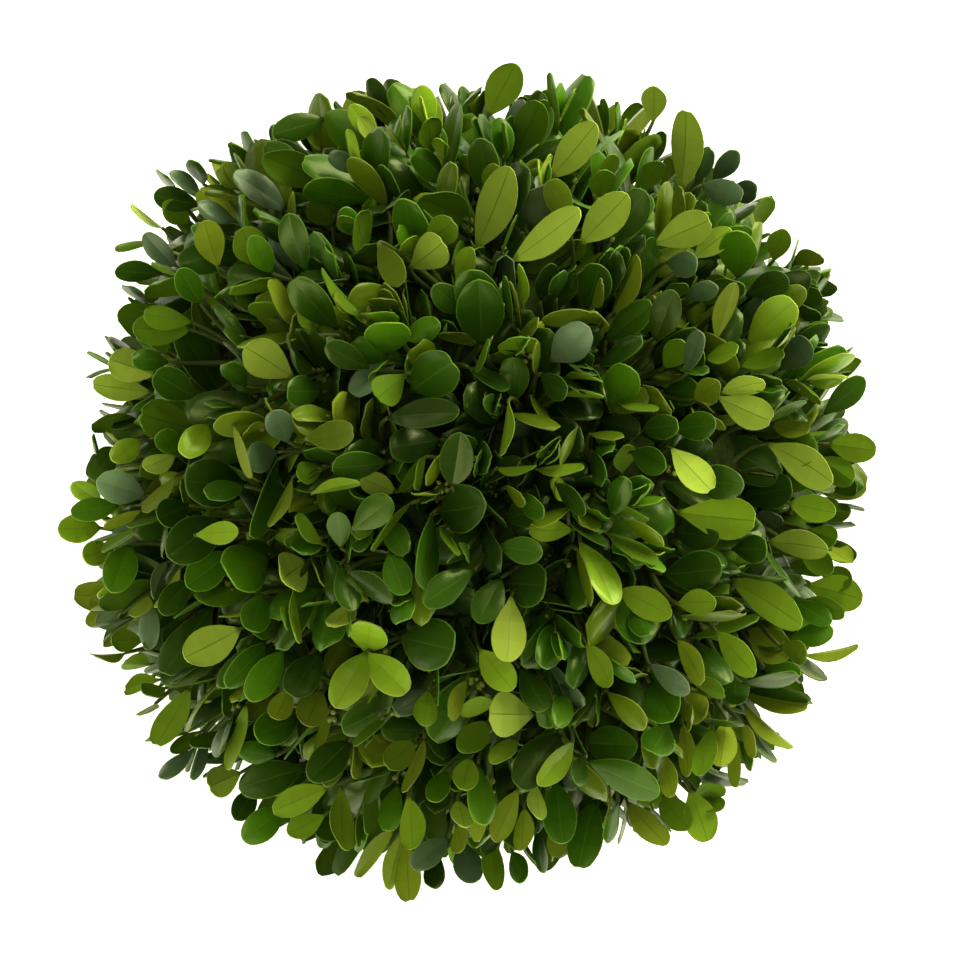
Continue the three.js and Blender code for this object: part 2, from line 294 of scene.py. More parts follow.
# Standing leaves near the middle of the view take the darker shade as painted shade, and those near its rim
# the lighter one as painted light.
SHADES = (0.8, 1.16)
TONES = (("deep", 0.2), ("dark", 0.5), ("mid", 0.76), ("fresh", 0.91), ("lime", 1.01))
OLIVE_SHARE = 0.1
OLIVE_SPRAY_SHARE = 0.5
GREY_SHARE = 0.04

# A leaf has painted shade towards its root and painted light towards its tip: bands of its length, and how
# light each is.
PAINTED_LIGHT_BANDS = (
    {"to": 0.3, "upper": 0.87, "lower": 0.92},
    {"to": 0.65, "upper": 0.97, "lower": 0.98},
    {"to": 1.0, "upper": 1.07, "lower": 1.04},
)
SURFACES = [(surface, band) for surface in ("upper", "lower") for band in range(len(PAINTED_LIGHT_BANDS))]
SURFACES += [("margin", 0), ("rib", 0)]
UPPER_GLOSS = {"roughness": 0.3, "specular": 0.8}
LOWER_GLOSS = {"roughness": 0.6, "specular": 0.2}
GREY_GLOSS = {"roughness": 0.32, "specular": 0.65}
GREEN_GLEAM = "#c4d498"
GREY_GLEAM = "#dce6d4"
LEAF_GRAIN = {"scale": 800, "depth": 0.11, "gloss_spread": 0.07}


def gloss_of(kind, surface):
    if surface in ("lower", "margin"):
        return LOWER_GLOSS
    return GREY_GLOSS if kind in GREY_KINDS else UPPER_GLOSS


def leaf_materials():
    """The materials of all leaves, in the order of LEAF_KINDS, SHADES and SURFACES."""
    materials = []
    for kind, colours in LEAF_KINDS.items():
        gleam = GREY_GLEAM if kind in GREY_KINDS else GREEN_GLEAM
        for number, shade in enumerate(SHADES):
            for surface, band in SURFACES:
                # Each colour is its kind's, times its shade and the painted shade or light of its band.
                light = shade * PAINTED_LIGHT_BANDS[band].get(surface, 1)
                colour = [part * light for part in linear(colours[surface])]
                name = f"{kind}_{number + 1}_{surface}_{band + 1}"
                material = plain_material(name, colour, **gloss_of(kind, surface), tint=gleam)
                if surface in ("upper", "lower"):
                    add_grain(material, **LEAF_GRAIN)
                materials.append(material)
    return materials


# A leaf's grid: shares of its length from root to tip, and of its half width from side to side. Near the tip
# its rows arc back at the sides. Leaves low on their shoots, which little light reaches, have a coarser grid.
TIP_ARC = 0.075
COARSE_COLUMNS = 3


class Grid:
    """The faces of one leaf. In its points the upper sheet comes first, then the lower. A rim joins them."""

    def __init__(self, rows, columns):
        self.rows, self.columns = np.array(rows), np.array(columns)
        self.points = 2 * len(rows) * len(columns)
        self.quads, self.surfaces = [], []
        self._add_sheets()
        self.sheet_quads = len(self.quads)
        self._add_rim()
        self.quads = np.array(self.quads)
        self.surfaces = np.array([SURFACES.index(surface) for surface in self.surfaces])
        self.triangles = 2 * len(self.quads)

    def _add_sheets(self):
        rows, columns = len(self.rows), len(self.columns)
        below = rows * columns
        detailed = columns > COARSE_COLUMNS
        for row in range(rows - 1):
            for column in range(columns - 1):
                low = row * columns + column
                corners = [low, low + 1, low + columns + 1, low + columns]
                middle = (self.rows[row] + self.rows[row + 1]) / 2
                band = next(number for number, band in enumerate(PAINTED_LIGHT_BANDS) if middle < band["to"])
                rib = detailed and column == columns // 2 - 1
                edge = detailed and row > 0 and (column in (0, columns - 2) or row == rows - 2)
                self.quads.append(corners)
                self.surfaces.append(("margin", 0) if edge else ("rib", 0) if rib else ("upper", band))
                self.quads.append([below + corner for corner in reversed(corners)])
                self.surfaces.append(("rib", 0) if rib else ("lower", band))

    def _add_rim(self):
        rows, columns = len(self.rows), len(self.columns)
        below = rows * columns
        rim = list(range(columns))
        rim += [row * columns + columns - 1 for row in range(1, rows)]
        rim += [(rows - 1) * columns + column for column in range(columns - 2, -1, -1)]
        rim += [row * columns for row in range(rows - 2, 0, -1)]
        for at, corner in enumerate(rim):
            following = rim[(at + 1) % len(rim)]
            self.quads.append([corner, below + corner, below + following, following])
            self.surfaces.append(("margin", 0))


FINE_ROWS = (0, 0.09, 0.22, 0.37, 0.52, 0.66, 0.78, 0.88, 0.955, 0.99, 1)
FINE = Grid(FINE_ROWS, (-1, -0.955, -0.52, -0.03, 0.03, 0.52, 0.955, 1))
COARSE = Grid((0, 0.18, 0.42, 0.7, 0.9, 1), (-1, 0, 1))
COARSE_FROM_LEVEL = 3
MOST_TRIANGLES = 190_000

# A leaf's form, as shares of its length or half width: the power that rounds its outline and how much that
# drops towards the tip, its stalk, its notch, the groove of its rib, its rolled edge and its bend.
SHAPE = ("length", "width", "fullness", "dome", "keel", "bend", "sway", "notch")
ROUNDING = 0.68
ROUNDING_DROP = 0.2
STALK_HALF = 0.1
NOTCH_HALF = 0.4
NOTCH_FROM = 0.8
GROOVE_DEPTH = 0.2
GROOVE_HALF = 0.12
ROLL_DEPTH = 0.16
EDGE_FROM = 0.95
EDGE_THICKNESS = 0.62
BEND_FROM = 0.12


def leaf_points(leaves, grid):
    """The points of many leaves at once, from arrays of their roots, directions and shapes."""
    share = grid.rows[None, :, None]
    aside = grid.columns[None, None, :]
    shape = {name: leaves[name][:, None, None] for name in SHAPE}
    edge = share - TIP_ARC * share**3
    outline = np.sin(math.pi * edge ** shape["fullness"]) ** (ROUNDING - ROUNDING_DROP * edge)
    outline = np.maximum(outline, STALK_HALF * (1 - share))
    half = 0.5 * shape["width"] * outline
    at_tip = np.clip((share - NOTCH_FROM) / (1 - NOTCH_FROM), 0, 1)
    notched = shape["notch"] * np.exp(-((aside / NOTCH_HALF) ** 2)) * at_tip
    forward = shape["length"] * (share - TIP_ARC * share**3 * aside**2 - notched)
    sideways = half * aside + shape["sway"] * shape["length"] * share**2
    domed = shape["dome"] * half * (1 - aside**2) + shape["keel"] * half * np.abs(aside)
    groove = -GROOVE_DEPTH * np.exp(-((aside / GROOVE_HALF) ** 2)) * np.sin(math.pi * share)
    rolled = -ROLL_DEPTH * (np.abs(aside) > EDGE_FROM) * outline
    bent = shape["bend"] * shape["length"] * np.clip(share - BEND_FROM, 0, 1) ** 2
    raised = domed + groove + rolled - bent
    thickness = LEAF_THICKNESS * np.where(np.abs(aside) < EDGE_FROM, 1, EDGE_THICKNESS)
    sheets = [raised + thickness / 2, raised - thickness / 2]
    across = np.cross(leaves["face"], leaves["along"])
    points = []
    for sheet in sheets:
        offsets = (
            forward[..., None] * leaves["along"][:, None, None, :]
            + sideways[..., None] * across[:, None, None, :]
            + sheet[..., None] * leaves["face"][:, None, None, :]
        )
        points.append((leaves["root"][:, None, None, :] + offsets).reshape(len(leaves["root"]), -1, 3))
    return np.concatenate(points, axis=1)


def make_mesh(name, points, quads, material_numbers, materials, flat=None):
    """An object from arrays: points in millimetres and four-sided faces, smooth but for the flat ones."""
    mesh = bpy.data.meshes.new(name)
    mesh.vertices.add(len(points))
    mesh.vertices.foreach_set("co", (points * MM).astype(np.float32).ravel())
    mesh.loops.add(quads.size)
    mesh.loops.foreach_set("vertex_index", quads.astype(np.int32).ravel())
    mesh.polygons.add(len(quads))
    mesh.polygons.foreach_set("loop_start", np.arange(0, quads.size, 4, dtype=np.int32))
    mesh.polygons.foreach_set("material_index", np.asarray(material_numbers, np.int32))
    smooth = np.ones(len(quads), bool) if flat is None else ~flat
    mesh.polygons.foreach_set("use_smooth", smooth)
    for material in materials:
        mesh.materials.append(material)
    mesh.update(calc_edges=True)
    mesh.validate()
    made = bpy.data.objects.new(name, mesh)
    bpy.context.scene.collection.objects.link(made)
    return made


# How leaves are kept from cutting through each other: each is taken as a flat oval with a few chords over it.
CHORD_ANGLES = np.radians(np.arange(0, 360, 45))
CHORD_SHARE = 0.96
INSIDE = {"standing": 1.1, "other": 0.85}
BEND_AT_TIP = 0.77
BEND_IN_MIDDLE = 0.16
DOME_IN_MIDDLE = 0.6
STANDING_WEIGHT = 5
ROOM_FOR_LEAVES = 9000


class Crowd:
    """The leaves placed so far, as flat ovals: first the standing ones, then the others."""

    def __init__(self):
        self.count = 0
        self.standing = 0
        self.middle, self.along, self.across, self.face = np.zeros((4, ROOM_FOR_LEAVES, 3))
        self.half = np.zeros((ROOM_FOR_LEAVES, 2))
        self.chords = np.zeros((ROOM_FOR_LEAVES, 2, len(CHORD_ANGLES) + 2, 3))

    @staticmethod
    def oval_of(leaf):
        """A leaf's middle, its directions, its half length and width, and the ends of the chords over it."""
        across = np.cross(leaf["face"], leaf["along"])
        along = unit(leaf["along"] - leaf["face"] * BEND_AT_TIP * leaf["bend"])
        face = np.cross(along, across)
        half = np.array([0.5 * leaf["length"], 0.5 * leaf["width"]])
        raised = DOME_IN_MIDDLE * leaf["dome"] * half[1] + BEND_IN_MIDDLE * leaf["bend"] * leaf["length"]
        middle = leaf["root"] + along * half[0] + face * raised
        ring = [
            middle
            + CHORD_SHARE * half[0] * math.cos(angle) * along
            + CHORD_SHARE * half[1] * math.sin(angle) * across
            for angle in CHORD_ANGLES
        ]
        starts = np.array([*ring, ring[0], ring[2]])
        ends = np.array([*ring[1:], ring[0], ring[4], ring[6]])
        return middle, along, across, face, half, np.array([starts, ends])

    def cuts(self, oval):
        """How many chords of a leaf cut through those already there, or theirs through it."""
        middle, along, across, face, half, chords = oval
        placed = slice(0, self.count)
        apart = np.linalg.norm(self.middle[placed] - middle, axis=1)
        near = np.nonzero(apart < half[0] + self.half[placed, 0])[0]
        if len(near) == 0:
            return 0
        standing = near < self.standing
        inside = np.where(standing, INSIDE["standing"], INSIDE["other"])[:, None]
        weight = np.where(standing, STANDING_WEIGHT, 1)[:, None]
        theirs = self.middle[near], self.along[near], self.across[near], self.face[near], self.half[near]
        own = middle[None], along[None], across[None], face[None], half[None]
        ours = self._crossing(chords[0][None], chords[1][None], *theirs, inside)
        others = self._crossing(self.chords[near, 0], self.chords[near, 1], *own, inside)
        return int((weight * ours).sum() + (weight * others).sum())

    @staticmethod
    def _crossing(starts, ends, middle, along, across, face, half, inside):
        """Which chords, from starts to ends, go through the ovals that the other arrays give."""
        above = np.einsum("kcx,kx->kc", starts - middle[:, None], face)
        below = np.einsum("kcx,kx->kc", ends - middle[:, None], face)
        through = above * below < 0
        share = np.where(through, above / np.where(through, above - below, 1), 0)
        place = starts + share[..., None] * (ends - starts) - middle[:, None]
        lengthwise = np.einsum("kcx,kx->kc", place, along) / half[:, 0:1]
        crosswise = np.einsum("kcx,kx->kc", place, across) / half[:, 1:2]
        return through & (lengthwise**2 + crosswise**2 < inside)

    def add(self, oval):
        columns = (self.middle, self.along, self.across, self.face, self.half, self.chords)
        for column, value in zip(columns, oval):
            column[self.count] = value
        self.count += 1


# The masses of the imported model: one points up and five stand round the sides, as in the source.
SIDE_MASSES = 5
SIDE_MASS_DROP = 10
FIRST_SIDE_AZIMUTH = -90
MASS_DIRECTIONS = {"foliage_top": towards(0, 90)}
for side in range(SIDE_MASSES):
    azimuth = FIRST_SIDE_AZIMUTH + 360 * side / SIDE_MASSES
    MASS_DIRECTIONS[f"foliage_side_{side + 1}"] = towards(azimuth, -SIDE_MASS_DROP)


def mass_of(point):
    """The mass in whose space a point lies, seen from the fork."""
    offset = point - FORK
    return max(MASS_DIRECTIONS, key=lambda name: float(offset @ MASS_DIRECTIONS[name]))


# The stem inside, as in the source: its radii, its flare at the ground and its lean towards the fork.
STEM_FOOT_RADIUS = 8.5
STEM_RADIUS = 5.2
STEM_TIP_RADIUS = 3.6
FLARE_HEIGHT = 14.0
FLARE_LOBES = 5
FLARE_LOBE_DEPTH = 0.1
GROUND_CLEARANCE = 0.8
STEM_CLEARANCE = 0.6


def stem_middle(height):
    return FORK * height / FORK[2]


def stem_radius(height):
    flare = max(0, 1 - height / FLARE_HEIGHT) ** 2
    tapered = STEM_RADIUS + (STEM_TIP_RADIUS - STEM_RADIUS) * height / FORK[2]
    return tapered + (STEM_FOOT_RADIUS - STEM_RADIUS) * flare


def in_the_open(points):
    """True if all points are above the ground and clear of the stem."""
    for point in points:
        if point[2] < GROUND_CLEARANCE + LEAF_THICKNESS:
            return False
        aside = np.linalg.norm((point - stem_middle(point[2]))[:2])
        if point[2] < FORK[2] and aside < stem_radius(point[2]) + STEM_CLEARANCE:
            return False
    return True


# Boughs run from the fork through the heart. Each shoot forks off the end of the nearest bough of its mass.
BOUGH_END = 66.0
SHOOT_STRAIGHT = 20.0
SHOOT_STEPS = 8


def curve(start, bend, end, steps):
    """Points along a smooth arc from start to end that leaves towards bend and comes in from it."""
    share = np.linspace(0, 1, steps)[:, None]
    return (1 - share) ** 2 * start + 2 * share * (1 - share) * bend + share**2 * end


def bough_at(number):
    """Where a bough ends, BOUGH_END from the ball's centre, and which mass it belongs to."""
    outward = spiral_direction(number, BOUGHS)
    growth = unit(CENTRE + outward * reach(outward) - FORK)
    from_centre = FORK - CENTRE
    ahead = from_centre @ growth
    length = -ahead + math.sqrt(ahead**2 - from_centre @ from_centre + BOUGH_END**2)
    return {"end": FORK + growth * length, "growth": growth, "mass": mass_of(FORK + growth)}


BOUGH_LIST = [bough_at(number) for number in range(BOUGHS)]


def nearest_bough(point):
    """The bough of a point's own mass that points most nearly at it."""
    mass = mass_of(point)
    own = [bough for bough in BOUGH_LIST if bough["mass"] == mass]
    return max(own, key=lambda bough: float(unit(point - FORK) @ bough["growth"]))


def shoot_at(place, row):
    """Where a shoot of a row runs, from its bough to its tip, and which mass it belongs to."""
    number = row["first"] + place
    outward = spiral_direction(place, row["count"])
    stray = spread(number, DRAW["reach"], row["jitter"])
    surface = CENTRE + outward * (reach(outward) - row["short"] + stray)
    growth = unit(surface - FORK)
    first, second = across_of(growth)
    tilt = math.radians(TILT * chance(number, DRAW["tilt"]))
    way = 2 * math.pi * chance(number, DRAW["tilt_way"])
    growth = math.cos(tilt) * growth + math.sin(tilt) * (math.cos(way) * first + math.sin(way) * second)
    tip = surface - growth * TIP_LEAF_REACH
    path = curve(nearest_bough(tip)["end"], tip - growth * SHOOT_STRAIGHT, tip, SHOOT_STEPS)
    return {"number": number, "path": path, "outward": outward, "mass": mass_of(tip), "row": row}


def back_from_tip(path, distance):
    """The place and the growing direction at a distance back along a path from its tip."""
    for at in range(len(path) - 1, 0, -1):
        step = path[at] - path[at - 1]
        length = np.linalg.norm(step)
        if distance <= length or at == 1:
            return path[at] - step / length * distance, step / length
        distance -= length


def upright(growth):
    """How far a growing direction is upright: 1 straight up, and soon 0 away from there."""
    return max(0, float(growth @ UP)) ** UPRIGHT_POWER


# Sprays carry painted light on the side that the light comes from and painted shade on the far side, and
# painted shade at the rim and where they grow straight up. Older leaves are darker.
LIGHT_SIDE = towards(35, 15)
LIGHT_SIDE_SHIFT = 0.17
UPRIGHT_PAINTED_SHADE = 0.3
RIM_PAINTED_SHADE = 0.3
YOUNG_SHIFT = (0.14, 0.07, 0.0, -0.08, -0.2, -0.3)
TONE_OF_SPRAY = 0.72


def kind_of(shoot, level, draw):
    """The kind of a leaf on a shoot: mostly by the tone of its spray, the painted light and shade of where it
    stands, and how old it is.
    """
    number = shoot["number"]
    olive_share = OLIVE_SHARE + OLIVE_SPRAY_SHARE * (chance(number, DRAW["kind"]) < OLIVE_SHARE)
    if chance(number, draw + OWN_DRAW["olive"]) < olive_share:
        return "olive"
    if chance(number, draw + OWN_DRAW["grey"]) < GREY_SHARE:
        return "grey"
    tone = TONE_OF_SPRAY * chance(number, DRAW["tone"])
    tone += (1 - TONE_OF_SPRAY) * chance(number, draw + OWN_DRAW["tone"])
    # Painted light and shade: lighter towards the light side, darker away from it, where the shoot grows
    # straight up and at the rim.
    tone += LIGHT_SIDE_SHIFT * float(shoot["outward"] @ LIGHT_SIDE) + YOUNG_SHIFT[level]
    tone += shoot["row"]["tone"] - UPRIGHT_PAINTED_SHADE * upright(unit(shoot["path"][-1] - FORK))
    tone -= RIM_PAINTED_SHADE * (1 - abs(float(shoot["outward"] @ UP))) ** 2
    for kind, most in TONES:
        if tone < most:
            return kind
    return TONES[-1][0]


def shape_of_leaf(number, draw, length):
    """The outline and curl of one leaf, from its own draws."""

    def own(name):
        return chance(number, draw + OWN_DRAW[name])

    return {
        "length": length,
        "width": length * (LEAF_SLIMNESS[0] + (LEAF_SLIMNESS[1] - LEAF_SLIMNESS[0]) * own("slimness")),
        "fullness": FULLNESS["least"] + FULLNESS["more"] * own("fullness"),
        "dome": DOME["least"] + DOME["more"] * own("dome"),
        "keel": MOST_KEEL * own("keel") ** 2,
        "bend": BEND["middle"] + spread(number, draw + OWN_DRAW["bend"], BEND["spread"]),
        "sway": spread(number, draw + OWN_DRAW["sway"], SWAY_SPREAD),
        "notch": MOST_NOTCH * max(0, 2 * own("notch") - 1),
    }


def turned(vector, axis, angle):
    """A vector turned about an axis that it is square to."""
    return math.cos(angle) * vector + math.sin(angle) * np.cross(axis, vector)


def leaf_on(shoot, level, half, roll, open_share):
    """One leaf of a pair on a shoot. It sits on the shoot's axis and leans away from it."""
    number = shoot["number"]
    pair = PAIRS[level]
    draw = DRAW_LEAF + DRAWS_A_PAIR * level + (DRAWS_A_LEAF if half else 0)
    root, growth = back_from_tip(shoot["path"], pair["below"])
    first, second = across_of(growth)
    turn = math.radians(360 * chance(number, DRAW["roll"]) + 90 * level + half + roll)
    turn += math.radians(spread(number, draw + OWN_DRAW["turn"], TURN_JITTER))
    aside = math.cos(turn) * first + math.sin(turn) * second
    opens = pair["opens"] * shoot["row"]["opens"] + spread(number, draw + OWN_DRAW["opening"], OPENING_JITTER)
    opens = math.radians(opens * open_share * (1 - UPRIGHT * upright(growth)))
    along = math.cos(opens) * growth + math.sin(opens) * aside
    face = math.sin(opens) * growth - math.cos(opens) * aside
    twist = spread(number, draw + OWN_DRAW["twist"], 2)
    face = turned(face, along, math.radians(TWIST * twist + MORE_TWIST * twist**3))
    length = LEAF_LENGTH * pair["size"] * (1 + spread(number, draw + OWN_DRAW["length"], LEAF_LENGTH_SPREAD))
    leaf = shape_of_leaf(number, draw, length)
    grid = COARSE if level >= COARSE_FROM_LEVEL or shoot["row"]["first"] else FINE
    shade = int(len(SHADES) * chance(number, draw + OWN_DRAW["shade"]))
    leaf.update(root=root, along=along, face=face, mass=shoot["mass"])
    leaf.update(kind=kind_of(shoot, level, draw), shade=shade, grid=grid)
    return leaf


def place_pair(crowd, shoot, level, allowed):
    """The leaves of one pair, rolled round their shoot to where they cut through the fewest others."""
    best, fewest = [], None
    for roll in ROLLS_TRIED:
        for open_share in OPENINGS_TRIED:
            tried = []
            for half in (0, 180):
                leaf = leaf_on(shoot, level, half, roll, open_share)
                oval = crowd.oval_of(leaf)
                if allowed(oval):
                    tried.append((leaf, oval, crowd.cuts(oval)))
            cost = sum(cuts for _, _, cuts in tried) + COST_OF_A_MISSING_LEAF * (2 - len(tried))
            if fewest is None or cost < fewest:
                best, fewest = tried, cost
            if cost == 0:
                return best
    return [entry for entry in best if entry[2] <= MOST_CUTS]


